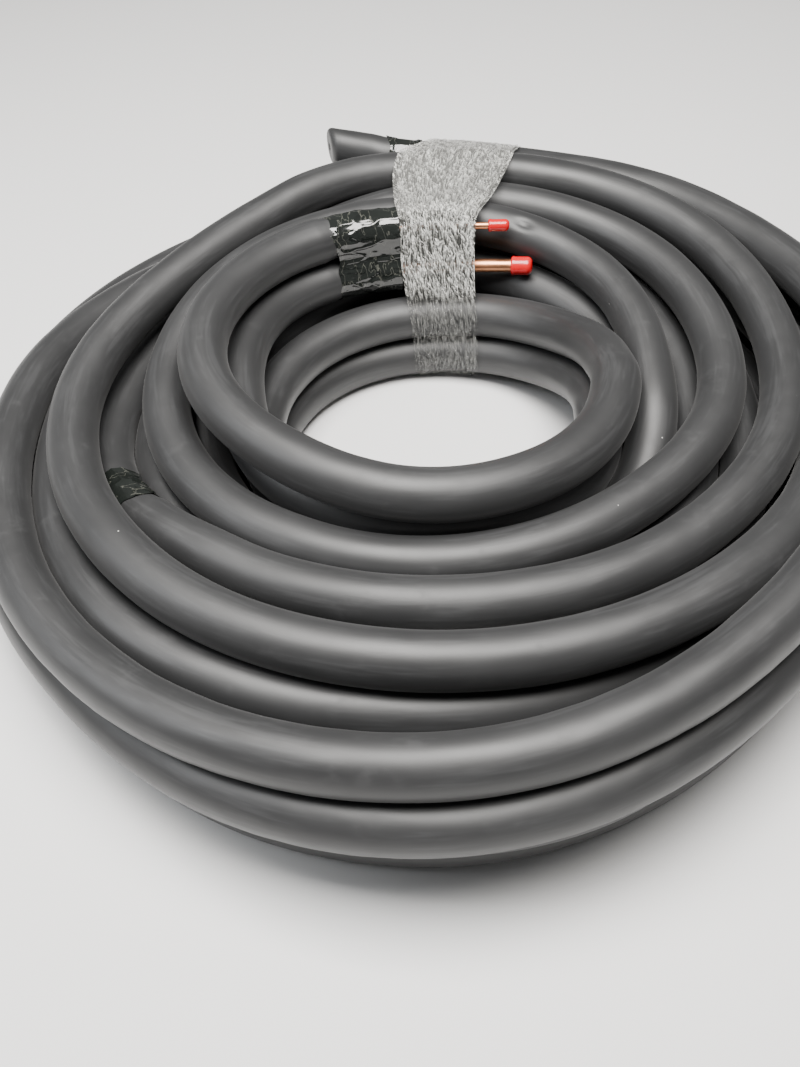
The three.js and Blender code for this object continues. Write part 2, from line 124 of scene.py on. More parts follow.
class Slot(Enum):
    """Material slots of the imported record."""

    FOAM = "foam"
    COPPER = "copper"
    CAP = "cap_vinyl"
    TAPE = "tape"
    FILM = "film"


# Shapes in numbers


def smooth_step(low: float, high: float, value: Array) -> Array:
    """Hermite ramp s = x^2 (3 - 2x) from 0 at low to 1 at high.

    Args:
        low: where the ramp starts.
        high: where it ends.
        value: places to evaluate.

    Returns:
        The ramp at each place.
    """
    x = np.clip((np.asarray(value, float) - low) / (high - low), 0.0, 1.0)
    return x * x * (3.0 - 2.0 * x)


def bump(centre: float, width: float, value: Array) -> Array:
    """A bell of height 1: exp(-((v - centre) / width)^2).

    Args:
        centre: the bell's middle.
        width: how wide it is.
        value: places to evaluate.

    Returns:
        The bell at each place.
    """
    return np.exp(-(((np.asarray(value, float) - centre) / width) ** 2))


def waves(places: Array, seed: int, octaves: int = 3, rough: float = 0.5) -> Array:
    """A smooth random field, a sum of sines with random directions and phases.

    f(p) = sum_o rough^o sum_j sin(2^o k_j . p + a_j) / norm, within about -1 to 1.

    Args:
        places: points, shape (..., dims), in units of the longest wave.
        seed: picks the random directions and phases.
        octaves: how many halvings of the wave length are added.
        rough: strength of each octave against the one before.

    Returns:
        The field at each place.
    """
    rng = np.random.default_rng(seed)
    total = np.zeros(places.shape[:-1])
    norm = 0.0
    for octave in range(octaves):
        share = rough**octave
        for _ in range(5):
            way = rng.normal(size=places.shape[-1])
            way *= 2.0**octave * 2.0 * math.pi * rng.uniform(0.6, 1.2) / np.linalg.norm(way)
            total += share * np.sin(places @ way + rng.uniform(0, 2 * math.pi))
        norm += share * 2.2
    return total / norm


def hermite(places: Array, values: Array, at: Array) -> Array:
    """Cubic Hermite interpolation whose slopes come from the neighbours on both sides.

    Args:
        places: rising places of the values.
        values: the values.
        at: where to interpolate.

    Returns:
        The interpolated values.
    """
    slopes = np.gradient(values, places)
    i = np.clip(np.searchsorted(places, at) - 1, 0, len(places) - 2)
    span = places[i + 1] - places[i]
    t = (at - places[i]) / span
    t2, t3 = t * t, t * t * t
    start = (2 * t3 - 3 * t2 + 1) * values[i] + (t3 - 2 * t2 + t) * span * slopes[i]
    end = (3 * t2 - 2 * t3) * values[i + 1] + (t3 - t2) * span * slopes[i + 1]
    return start + end


def outwards(turns: Array) -> Array:
    """Unit vectors from the bore's axis: straight back at whole turns, then to the left.

    Args:
        turns: turn counts.

    Returns:
        Vectors, shape (n, 3).
    """
    angle = math.pi / 2 + 2 * math.pi * np.asarray(turns, float)
    return np.stack([np.cos(angle), np.sin(angle), np.zeros_like(angle)], -1)


def convex_hull(points: Array) -> Array:
    """Convex hull of points in a plane, counter-clockwise (monotone chain).

    Args:
        points: shape (n, 2).

    Returns:
        The hull's corners, shape (m, 2).
    """
    order = points[np.lexsort((points[:, 1], points[:, 0]))]
    chains = []
    for row in (order, order[::-1]):
        chain: list[Array] = []
        for p in row:
            while len(chain) > 1:
                a, b = chain[-2], chain[-1]
                if (b[0] - a[0]) * (p[1] - a[1]) - (b[1] - a[1]) * (p[0] - a[0]) > 0:
                    break
                chain.pop()
            chain.append(p)
        chains += chain[:-1]
    return np.array(chains)


# The bundle, read from the frame


@dataclass
class Line:
    """A foam line's centre: radius and height over the turns of the coil, from start to end."""

    turns: Array
    radius: Array
    height: Array

    @property
    def start(self) -> float:
        """Turn count of the first end."""
        return float(self.turns[0])

    @property
    def end(self) -> float:
        """Turn count of the last end."""
        return float(self.turns[-1])

    def at(self, turns: Array) -> tuple[Array, Array]:
        """Radius and height at turn counts.

        Args:
            turns: turn counts.

        Returns:
            Radii and heights.
        """
        turns = np.asarray(turns, float)
        return hermite(self.turns, self.radius, turns), hermite(self.turns, self.height, turns)


def node_points(name: str) -> Array:
    """Vertices of a CAD node.

    Args:
        name: the node's name.

    Returns:
        Points, shape (n, 3).
    """
    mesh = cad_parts[name].data
    flat = np.empty(len(mesh.vertices) * 3, np.float32)
    mesh.vertices.foreach_get("co", flat)
    return flat.reshape(-1, 3).astype(float)


def ring_middle(points: Array, turn: float) -> tuple[float, float] | None:
    """Middle of a sleeve's ring at one place round the coil.

    Args:
        points: a sleeve's vertices, from the bore's middle.
        turn: the place.

    Returns:
        Radius and height of the ring's middle, or None where the sleeve has no ring.
    """
    azimuth = np.arctan2(points[:, 1], points[:, 0]) / (2 * math.pi) - 0.25
    away = np.abs((azimuth - turn + 0.5) % 1 - 0.5)
    ring = points[away < RING_TOLERANCE]
    if len(ring) < 8:
        return None
    reach = np.hypot(ring[:, 0], ring[:, 1])
    return (reach.min() + reach.max()) / 2, (ring[:, 2].min() + ring[:, 2].max()) / 2


def read_line(names: list[str], start: float, end: float, centre: Array) -> Line:
    """Reads the centre line of a row of sleeves from their CAD nodes.

    Args:
        names: the sleeves in their order.
        start: turn count of the first end.
        end: turn count of the last end.
        centre: the bore's middle on the floor.

    Returns:
        The line.
    """
    rows = []
    begin = start
    for name in names:
        points = node_points(name) - centre
        for station in range(STATIONS):
            found = ring_middle(points, station / STATIONS)
            if found:
                rows.append((begin + (station / STATIONS - begin) % 1, *found))
        begin = max(row[0] for row in rows) + 0.5 / STATIONS
    rows.append((start, *ring_middle(node_points(names[0]) - centre, start)))
    rows.append((end, *ring_middle(node_points(names[-1]) - centre, end)))
    table = np.array(sorted(rows))
    return Line(table[:, 0], table[:, 1], table[:, 2])


@dataclass
class Bundle:
    """All the foam lines of the coil, and what they press on."""

    centre: Array
    lines: dict[str, Line]
    hidden_radii: list[float]
    hidden_height: float

    @staticmethod
    def read() -> "Bundle":
        """Reads the bundle from the frame.

        Returns:
            The bundle.
        """
        low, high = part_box("hidden_floor_turns")
        centre = np.array([(low.x + high.x) / 2, (low.y + high.y) / 2, 0.0])
        outermost = (high.x - low.x) / 2 - FOAM_RADIUS
        liquid = [f"foam_sleeve_liquid_{i + 1}" for i in range(LIQUID_TURNS + 2)]
        suction = [f"foam_sleeve_suction_{i + 1}" for i in range(SUCTION_TURNS + 1)]
        lines = {
            "liquid": read_line(liquid, INNER_END, LIQUID_END, centre),
            "suction": read_line(suction, INNER_END, SUCTION_END, centre),
            "floor": read_line(["foam_sleeve_floor"], FILM_CENTRE, 1 + FILM_CENTRE, centre),
        }
        radii = [outermost - HIDDEN_STEP * i for i in range(HIDDEN_TURNS)]
        return Bundle(centre, lines, radii, (low.z + high.z) / 2)

    def others(self, name: str, turns: Array) -> list[Array]:
        """Middles of all the other turns in the planes of a line's rings.

        Args:
            name: the line.
            turns: turn counts of its rings.

        Returns:
            Arrays of radius and height, shape (n, 2), far away where a turn has ended.
        """
        found = []
        for other, line in self.lines.items():
            for shift in range(-LIQUID_TURNS - 1, LIQUID_TURNS + 2):
                at = turns + shift
                inside = (at >= line.start - 0.002) & (at <= line.end + 0.002)
                if not inside.any() or (other == name and shift == 0):
                    continue
                radius, height = line.at(np.clip(at, line.start, line.end))
                place = np.stack([radius, height], -1)
                place[~inside] = (9.0, 9.0)
                found.append(place)
        for radius in self.hidden_radii:
            found.append(np.tile([radius, self.hidden_height], (len(turns), 1)))
        return found

    def place(self, turns: Array, radius: Array, height: Array) -> Array:
        """Points of the row frame from places round the coil.

        Args:
            turns: turn counts, shape (n,).
            radius: radii, shape (n, m).
            height: heights, shape (n, m).

        Returns:
            Points, shape (n, m, 3).
        """
        out = outwards(turns)[:, None, :]
        return self.centre + out * radius[..., None] + np.array([0, 0, 1.0]) * height[..., None]

    def arc_turns(self, name: str, start: float, end: float, step: float) -> Array:
        """Turn counts spaced evenly by length along a line.

        Args:
            name: the line.
            start: first turn count.
            end: last turn count.
            step: spacing in metres.

        Returns:
            Turn counts.
        """
        fine = np.linspace(start, end, 200 + int(400 * (end - start)))
        radius = self.lines[name].at(fine)[0]
        length = np.concatenate([[0], np.cumsum(np.diff(fine) * math.pi * (radius[1:] + radius[:-1]))])
        count = max(2, int(round(length[-1] / step)) + 1)
        return np.interp(np.linspace(0, length[-1], count), length, fine)


# Meshes


def grid_mesh(
    name: str, points: Array, uv: Array, closed: bool = True, values: dict[str, Array] | None = None
) -> bpy.types.Object:
    """Makes one mesh of quads over a grid of points.

    Args:
        name: the object's name.
        points: shape (n, m, 3), rings of m points.
        uv: shape (n, m + 1, 2), or (n, m, 2) where the rings are open.
        closed: whether each ring joins its own start.
        values: float attributes by name, shape (n, m).

    Returns:
        The object.
    """
    n, m = points.shape[:2]
    columns = np.arange(m if closed else m - 1)
    i, j = np.meshgrid(np.arange(n - 1), columns, indexing="ij")
    right = (j + 1) % m
    quads = np.stack([i * m + j, i * m + right, (i + 1) * m + right, (i + 1) * m + j], -1).reshape(-1, 4)
    corners = np.stack([uv[i, j], uv[i, j + 1], uv[i + 1, j + 1], uv[i + 1, j]], -2).reshape(-1, 4, 2)
    middle = points.mean(1 if closed else 0, keepdims=True)
    out = (points - middle)[i, j]
    face = np.cross(points[i, right] - points[i, j], points[i + 1, j] - points[i, j])
    if (face * out).sum() < 0:
        quads, corners = quads[:, ::-1], corners[:, ::-1]
    mesh = bpy.data.meshes.new(name)
    mesh.vertices.add(n * m)
    mesh.vertices.foreach_set("co", points.astype(np.float32).ravel())
    mesh.loops.add(len(quads) * 4)
    mesh.loops.foreach_set("vertex_index", np.ascontiguousarray(quads, np.int32).ravel())
    mesh.polygons.add(len(quads))
    mesh.polygons.foreach_set("loop_start", np.arange(0, len(quads) * 4, 4, dtype=np.int32))
    mesh.update(calc_edges=True)
    layer = mesh.uv_layers.new(name="UVMap")
    layer.data.foreach_set("uv", np.ascontiguousarray(corners, np.float32).ravel())
    for key, field in (values or {}).items():
        attribute = mesh.attributes.new(key, "FLOAT", "POINT")
        attribute.data.foreach_set("value", field.astype(np.float32).ravel())
    mesh.shade_smooth()
    mesh.validate()
    piece = bpy.data.objects.new(name, mesh)
    bpy.context.scene.collection.objects.link(piece)
    return piece


def finish_piece(piece: bpy.types.Object, finish: "Finish", *nodes: str) -> bpy.types.Object:
    """Gives a piece its material, its body and the CAD nodes that it stands for.

    Args:
        piece: the object.
        finish: its finish.
        nodes: CAD nodes that it replaces.

    Returns:
        The piece.
    """
    piece.data.materials.append(finish.material())
    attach(piece, "root")
    if nodes:
        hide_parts(*nodes)
    LOG.info("%s: %d faces", piece.name, len(piece.data.polygons))
    return piece


# Finishes


class Nodes:
    """Adds and links nodes in one node tree."""

    def __init__(self, tree: bpy.types.NodeTree) -> None:
        """Keeps the tree that the nodes are added to.

        Args:
            tree: the node tree.
        """
        self.tree = tree

    def add(self, kind: str, inputs: dict | None = None, **settings) -> bpy.types.Node:
        """Adds a node.

        Args:
            kind: the node's type.
            inputs: socket values or the sockets that feed them, by name or number.
            settings: the node's own properties.

        Returns:
            The node.
        """
        node = self.tree.nodes.new(kind)
        for key, value in settings.items():
            setattr(node, key, value)
        for key, value in (inputs or {}).items():
            if isinstance(value, bpy.types.NodeSocket):
                self.tree.links.new(value, node.inputs[key])
            else:
                node.inputs[key].default_value = value
        return node

    def math(self, operation: str, a, b=0.0, c=0.0) -> bpy.types.NodeSocket:
        """A Math node's result.

        Args:
            operation: what it does.
            a: first number or socket.
            b: second number or socket.
            c: third number or socket.

        Returns:
            The result's socket.
        """
        return self.add("ShaderNodeMath", {0: a, 1: b, 2: c}, operation=operation).outputs[0]

    def ramp(self, value, low: float, high: float, to_low: float = 0.0, to_high: float = 1.0):
        """A smooth ramp between two values.

        Args:
            value: the socket read.
            low: where the ramp starts.
            high: where it ends.
            to_low: result at the start.
            to_high: result at the end.

        Returns:
            The result's socket.
        """
        inputs = {"Value": value, "From Min": low, "From Max": high, "To Min": to_low, "To Max": to_high}
        return self.add("ShaderNodeMapRange", inputs, interpolation_type="SMOOTHSTEP").outputs[0]

    def noise(self, vector, scale: float, detail: float = 3.0, rough: float = 0.55):
        """A noise texture's value.

        Args:
            vector: where it is read.
            scale: its scale.
            detail: its octaves.
            rough: its roughness.

        Returns:
            The value's socket.
        """
        inputs = {"Vector": vector, "Scale": scale, "Detail": detail, "Roughness": rough}
        return self.add("ShaderNodeTexNoise", inputs).outputs[0]

    def stretched(self, vector, scale: tuple[float, float, float]):
        """A vector scaled by axis.

        Args:
            vector: the socket read.
            scale: factors for x, y and z.

        Returns:
            The scaled vector's socket.
        """
        return self.add("ShaderNodeMapping", {"Vector": vector, "Scale": scale}).outputs[0]


def shared_group(name: str, outputs: dict[str, str], build) -> bpy.types.NodeTree:
    """Makes a shader node group once, with a vector input.

    Args:
        name: the group's name.
        outputs: socket types by output name.
        build: fills the group, given its nodes, the input socket and the output node.

    Returns:
        The group.
    """
    group = bpy.data.node_groups.get(name)
    if group:
        return group
    group = bpy.data.node_groups.new(name, "ShaderNodeTree")
    group.interface.new_socket("Vector", in_out="INPUT", socket_type="NodeSocketVector")
    for key, kind in outputs.items():
        group.interface.new_socket(key, in_out="OUTPUT", socket_type=kind)
    nodes = Nodes(group)
    entry = nodes.add("NodeGroupInput")
    build(nodes, entry.outputs["Vector"], nodes.add("NodeGroupOutput"))
    return group


@dataclass(frozen=True)
class Finish:
    """A material: a Principled surface fed by procedural detail."""

    slot: Slot
    name: str
    color: tuple[float, float, float]
    roughness: float
    metallic: float = 0.0
    specular: float = 0.5
    coat: float = 0.0

    def material(self) -> bpy.types.Material:
        """The material, made on first use.

        Returns:
            The material.
        """
        made = bpy.data.materials.get(self.name)
        if made:
            return made
        made = bpy.data.materials.new(self.name)
        made.use_nodes = True
        made.node_tree.nodes.clear()
        nodes = Nodes(made.node_tree)
        surface = nodes.add(
            "ShaderNodeBsdfPrincipled",
            {
                "Base Color": (*self.color, 1.0),
                "Roughness": self.roughness,
                "Metallic": self.metallic,
                "Specular IOR Level": self.specular,
                "Coat Weight": self.coat,
                "Coat Roughness": 0.08,
            },
        )
        output = nodes.add("ShaderNodeOutputMaterial")
        made.node_tree.links.new(surface.outputs[0], output.inputs[0])
        self.detail(nodes, surface)
        return made

    def detail(self, nodes: Nodes, surface: bpy.types.Node) -> None:
        """Adds the finish's own detail.

        Args:
            nodes: the material's nodes.
            surface: its Principled node.
        """

    def tint(self, nodes: Nodes, factor, dark: float, light: float):
        """The finish's colour, darker and lighter by a factor from 0 to 1.

        Args:
            nodes: the material's nodes.
            factor: the socket that mixes.
            dark: brightness at 0.
            light: brightness at 1.

        Returns:
            The colour's socket.
        """
        inputs = {
            "Factor": factor,
            6: (*(c * dark for c in self.color), 1.0),
            7: (*(min(1.0, c * light) for c in self.color), 1.0),
        }
        return nodes.add("ShaderNodeMix", inputs, data_type="RGBA").outputs[2]


def fill_streaks(nodes: Nodes, vector, output: bpy.types.Node) -> None:
    """Faint rubbed streaks along a sleeve, from its UV in metres.

    Args:
        nodes: the group's nodes.
        vector: UV in metres, x round the sleeve and y along it.
        output: the group's output node.
    """
    fine = nodes.noise(nodes.stretched(vector, (1.0, 0.05, 1.0)), 300.0, 3.0, 0.6)
    broad = nodes.noise(nodes.stretched(vector, (1.0, 0.12, 1.0)), 70.0, 4.0, 0.65)
    both = nodes.math("MULTIPLY", nodes.ramp(fine, 0.36, 0.66), nodes.ramp(broad, 0.44, 0.66))
    nodes.tree.links.new(both, output.inputs["Streak"])


def fill_foam_skin(nodes: Nodes, vector, output: bpy.types.Node) -> None:
    """Foam skin: soft blotches and scuffs for its tone, and fine pores for its bump.

    Args:
        nodes: the group's nodes.
        vector: object coordinates.
        output: the group's output node.
    """
    blotch = nodes.noise(vector, 9.0, 4.0, 0.6)
    grain = nodes.noise(vector, 900.0, 2.0, 0.6)
    scuff = nodes.ramp(nodes.noise(vector, 38.0, 5.0, 0.7), 0.56, 0.78)
    tone = nodes.math("ADD", nodes.math("MULTIPLY", blotch, 0.75), nodes.math("MULTIPLY", scuff, 0.35))
    nodes.tree.links.new(nodes.math("ADD", tone, nodes.math("MULTIPLY", grain, 0.12)), output.inputs["Tone"])
    dents = nodes.noise(vector, 26.0, 2.0, 0.5)
    height = nodes.math("ADD", nodes.math("MULTIPLY", dents, 0.00035), nodes.math("MULTIPLY", grain, 0.00003))
    nodes.tree.links.new(height, output.inputs["Height"])


def fill_dust(nodes: Nodes, vector, output: bpy.types.Node) -> None:
    """Sparse pale specks: the few cells of a Voronoi whose random value is high, as small dots.

    Args:
        nodes: the group's nodes.
        vector: object coordinates.
        output: the group's output node.
    """
    cells = nodes.add("ShaderNodeTexVoronoi", {"Vector": vector, "Scale": 55.0})
    chance = nodes.add("ShaderNodeSeparateColor", {0: cells.outputs["Color"]}).outputs[0]
    rare = nodes.math("GREATER_THAN", chance, 0.95)
    dot = nodes.ramp(cells.outputs["Distance"], 0.02, 0.034, 1.0, 0.0)
    nodes.tree.links.new(nodes.math("MULTIPLY", rare, dot), output.inputs["Speck"])


@dataclass(frozen=True)
class FoamFinish(Finish):
    """Closed-cell foam with a satin skin, dust specks and faint scuffs."""

    def detail(self, nodes: Nodes, surface: bpy.types.Node) -> None:
        """See Finish.detail."""
        where = nodes.add("ShaderNodeTexCoord").outputs["Object"]
        skin_tree = shared_group(
            "foam_skin", {"Tone": "NodeSocketFloat", "Height": "NodeSocketFloat"}, fill_foam_skin
        )
        skin = nodes.add("ShaderNodeGroup", node_tree=skin_tree)
        nodes.tree.links.new(where, skin.inputs[0])
        dust_tree = shared_group("dust", {"Speck": "NodeSocketFloat"}, fill_dust)
        dust = nodes.add("ShaderNodeGroup", node_tree=dust_tree)
        nodes.tree.links.new(where, dust.inputs[0])
        streak_tree = shared_group("streaks", {"Streak": "NodeSocketFloat"}, fill_streaks)
        streak = nodes.add("ShaderNodeGroup", node_tree=streak_tree)
        nodes.tree.links.new(nodes.add("ShaderNodeTexCoord").outputs["UV"], streak.inputs[0])
        tone = nodes.math("ADD", skin.outputs["Tone"], nodes.math("MULTIPLY", streak.outputs[0], 0.9))
        color = self.tint(nodes, tone, 0.7, 1.7)
        inputs = {"Factor": dust.outputs[0], 6: color, 7: (0.5, 0.5, 0.48, 1.0)}
        dusty = nodes.add("ShaderNodeMix", inputs, data_type="RGBA").outputs[2]
        nodes.tree.links.new(dusty, surface.inputs["Base Color"])
        rough = nodes.ramp(skin.outputs["Tone"], 0.2, 0.8, self.roughness - 0.05, self.roughness + 0.07)
        nodes.tree.links.new(rough, surface.inputs["Roughness"])
        pores = {"Height": skin.outputs["Height"], "Distance": 1.0, "Strength": 0.7}
        relief = nodes.add("ShaderNodeBump", pores)
        nodes.tree.links.new(relief.outputs[0], surface.inputs["Normal"])
        surface.inputs["Sheen Weight"].default_value = 0.06
        surface.inputs["Sheen Roughness"].default_value = 0.4


@dataclass(frozen=True)
class CopperFinish(Finish):
    """Drawn copper: fine lines along the pipe and faint tarnish."""

    def detail(self, nodes: Nodes, surface: bpy.types.Node) -> None:
        """See Finish.detail."""
        where = nodes.add("ShaderNodeTexCoord").outputs
        lines = nodes.noise(nodes.stretched(where["UV"], (1.0, 0.004, 1.0)), 60.0, 3.0, 0.6)
        tarnish = nodes.noise(where["Object"], 70.0, 4.0, 0.6)
        tone = nodes.math("ADD", nodes.math("MULTIPLY", lines, 0.5), nodes.math("MULTIPLY", tarnish, 0.5))
        nodes.tree.links.new(self.tint(nodes, tone, 0.72, 1.22), surface.inputs["Base Color"])
        rough = nodes.ramp(tone, 0.3, 0.7, self.roughness - 0.06, self.roughness + 0.12)
        nodes.tree.links.new(rough, surface.inputs["Roughness"])


@dataclass(frozen=True)
class CapFinish(Finish):
    """Dipped vinyl: an even glossy colour with a soft, slightly uneven skin."""

    def detail(self, nodes: Nodes, surface: bpy.types.Node) -> None:
        """See Finish.detail."""
        where = nodes.add("ShaderNodeTexCoord").outputs["Object"]
        cloud = nodes.noise(where, 160.0, 3.0, 0.5)
        nodes.tree.links.new(self.tint(nodes, cloud, 0.85, 1.1), surface.inputs["Base Color"])
        soft = nodes.add("ShaderNodeBump", {"Height": cloud, "Distance": 0.0006, "Strength": 0.5})
        nodes.tree.links.new(soft.outputs[0], surface.inputs["Normal"])


@dataclass(frozen=True)
class TapeFinish(Finish):
    """Shiny vinyl tape: fine creases in its bump, dust in its tone, and painted glints as thin pale lines in
    its colour.
    """

    def detail(self, nodes: Nodes, surface: bpy.types.Node) -> None:
        """See Finish.detail."""
        where = nodes.add("ShaderNodeTexCoord").outputs
        crease = nodes.noise(nodes.stretched(where["UV"], (1.0, 0.35, 1.0)), 48.0, 3.0, 0.5)
        sharp = nodes.math("ABSOLUTE", nodes.math("SUBTRACT", crease, 0.5))
        relief = nodes.add("ShaderNodeBump", {"Height": sharp, "Distance": 0.007, "Strength": 0.32})
        nodes.tree.links.new(relief.outputs[0], surface.inputs["Normal"])
        cloud = nodes.noise(where["Object"], 60.0, 4.0, 0.6)
        # Thin pale lines mixed into the colour are painted glints, standing in for light caught on the tape's
        # folds.
        edge = nodes.noise(nodes.stretched(where["UV"], (0.5, 1.0, 1.0)), 75.0, 3.0, 0.5)
        away = nodes.math("ABSOLUTE", nodes.math("SUBTRACT", edge, 0.54))
        crest = nodes.ramp(away, 0.002, 0.012, 0.13, 0.0)
        inputs = {"Factor": crest, 6: self.tint(nodes, cloud, 0.6, 1.6), 7: (0.42, 0.42, 0.36, 1.0)}
        tone_with_painted_glints = nodes.add("ShaderNodeMix", inputs, data_type="RGBA").outputs[2]
        nodes.tree.links.new(tone_with_painted_glints, surface.inputs["Base Color"])


@dataclass(frozen=True)
class FilmFinish(Finish):
    """Stretch film: clear where it lies flat, hazier where many layers lie, with painted glints: white lines
    in its colour along its crinkles that stand in for light caught on them.
    """

    def detail(self, nodes: Nodes, surface: bpy.types.Node) -> None:
        """See Finish.detail."""
        where = nodes.add("ShaderNodeTexCoord").outputs["UV"]
        haze = nodes.add("ShaderNodeAttribute", attribute_name="haze").outputs["Fac"]
        crest = nodes.add("ShaderNodeAttribute", attribute_name="crest").outputs["Fac"]
        swirl = nodes.add("ShaderNodeTexNoise", {"Vector": where, "Scale": 45.0, "Detail": 2.0})
        bent = swirl.outputs["Color"]
        sway = nodes.add("ShaderNodeVectorMath", {0: bent, "Scale": 0.005}, operation="SCALE").outputs[0]
        placed = nodes.add("ShaderNodeVectorMath", {0: where, 1: sway}, operation="ADD").outputs[0]
        turned = nodes.add("ShaderNodeMapping", {"Vector": placed, "Rotation": (0, 0, 0.55)}).outputs[0]
        streaks = self.ridges(nodes, nodes.stretched(placed, (1.0, 0.11, 1.0)), 360.0)
        cross = self.ridges(nodes, nodes.stretched(turned, (1.0, 0.2, 1.0)), 250.0)
        lines = nodes.math("MAXIMUM", streaks, nodes.math("MULTIPLY", cross, 0.85))
        # Painted glints: the crinkle lines are turned white in the colour and made more opaque, standing in
        # for light caught on the film's folds.
        painted_glints = nodes.math("MULTIPLY", lines, nodes.ramp(haze, 0.0, 0.6, 0.5, 1.0))
        seen = nodes.math("ADD", haze, nodes.math("MULTIPLY", painted_glints, 0.75))
        seen = nodes.math("ADD", seen, nodes.math("MULTIPLY", crest, 0.12))
        nodes.tree.links.new(nodes.ramp(seen, -0.1, 1.1, 0.0, 0.98), surface.inputs["Alpha"])
        height = nodes.math("ADD", lines, nodes.math("MULTIPLY", crest, 0.5))
        relief = nodes.add("ShaderNodeBump", {"Height": height, "Distance": 0.0012, "Strength": 0.9})
        nodes.tree.links.new(relief.outputs[0], surface.inputs["Normal"])
        milk = nodes.add("ShaderNodeAttribute", attribute_name="milk").outputs["Fac"]
        # The colour is pale where the milky haze lies and where the painted glints lie, and dark elsewhere.
        milk_and_painted_glints = nodes.math("MAXIMUM", painted_glints, milk)
        nodes.tree.links.new(self.tint(nodes, milk_and_painted_glints, 0.06, 1.16), surface.inputs["Base Color"])

    def ridges(self, nodes: Nodes, vector, scale: float):
        """Thin crests of a noise: (1 - |2n - 1|) raised so that only its middle is left.

        Args:
            nodes: the material's nodes.
            vector: where it is read.
            scale: its scale.

        Returns:
            The crests' socket, 0 to 1.
        """
        away = nodes.math("ABSOLUTE", nodes.math("SUBTRACT", nodes.noise(vector, scale, 3.0, 0.6), 0.5))
        return nodes.ramp(away, 0.0, 0.038, 1.0, 0.0)


FOAM = FoamFinish(Slot.FOAM, "foam_skin_dark_grey", (0.0165, 0.0168, 0.0174), 0.49, specular=0.56)
COPPER = CopperFinish(Slot.COPPER, "drawn_copper", (0.66, 0.31, 0.17), 0.34, metallic=1.0)
CAP = CapFinish(Slot.CAP, "red_dipped_vinyl", (0.5, 0.004, 0.008), 0.26, coat=0.3)
TAPE = TapeFinish(Slot.TAPE, "black_vinyl_tape", (0.008, 0.0095, 0.0085), 0.11, specular=0.75)
FILM = FilmFinish(Slot.FILM, "crinkled_stretch_film", (0.86, 0.87, 0.82), 0.16, specular=0.7)


# Foam


@dataclass(frozen=True)
class Mark:
    """A dent in a foam line: its place, its size in turns and radians, and its depth."""

    line: str
    turn: float
    direction: float
    length: float
    width: float
    depth: float


MARKS = (
    Mark("liquid", 1.921, math.radians(298), 2.3 / 360, 0.2, 0.0034),
    Mark("liquid", 1.423, math.radians(262), 12 / 360, 0.16, 0.0009),
    Mark("suction", 3.43, math.radians(255), 9 / 360, 0.14, 0.0007),
)


def neck_share(turns: Array, tapes: list[tuple[float, float]]) -> Array:
    """How much of its radius the foam keeps: tape presses it in.

    Args:
        turns: turn counts.
        tapes: spans of the tapes.

    Returns:
        Shares from the neck's to 1.
    """
    share = np.ones_like(turns)
    depth = NECK_DEPTH / FOAM_RADIUS
    for start, end in tapes:
        pressed = smooth_step(start - NECK_RAMP, start, turns) * smooth_step(end + NECK_RAMP, end, turns)
        share = np.minimum(share, 1 - depth * pressed)
    return share


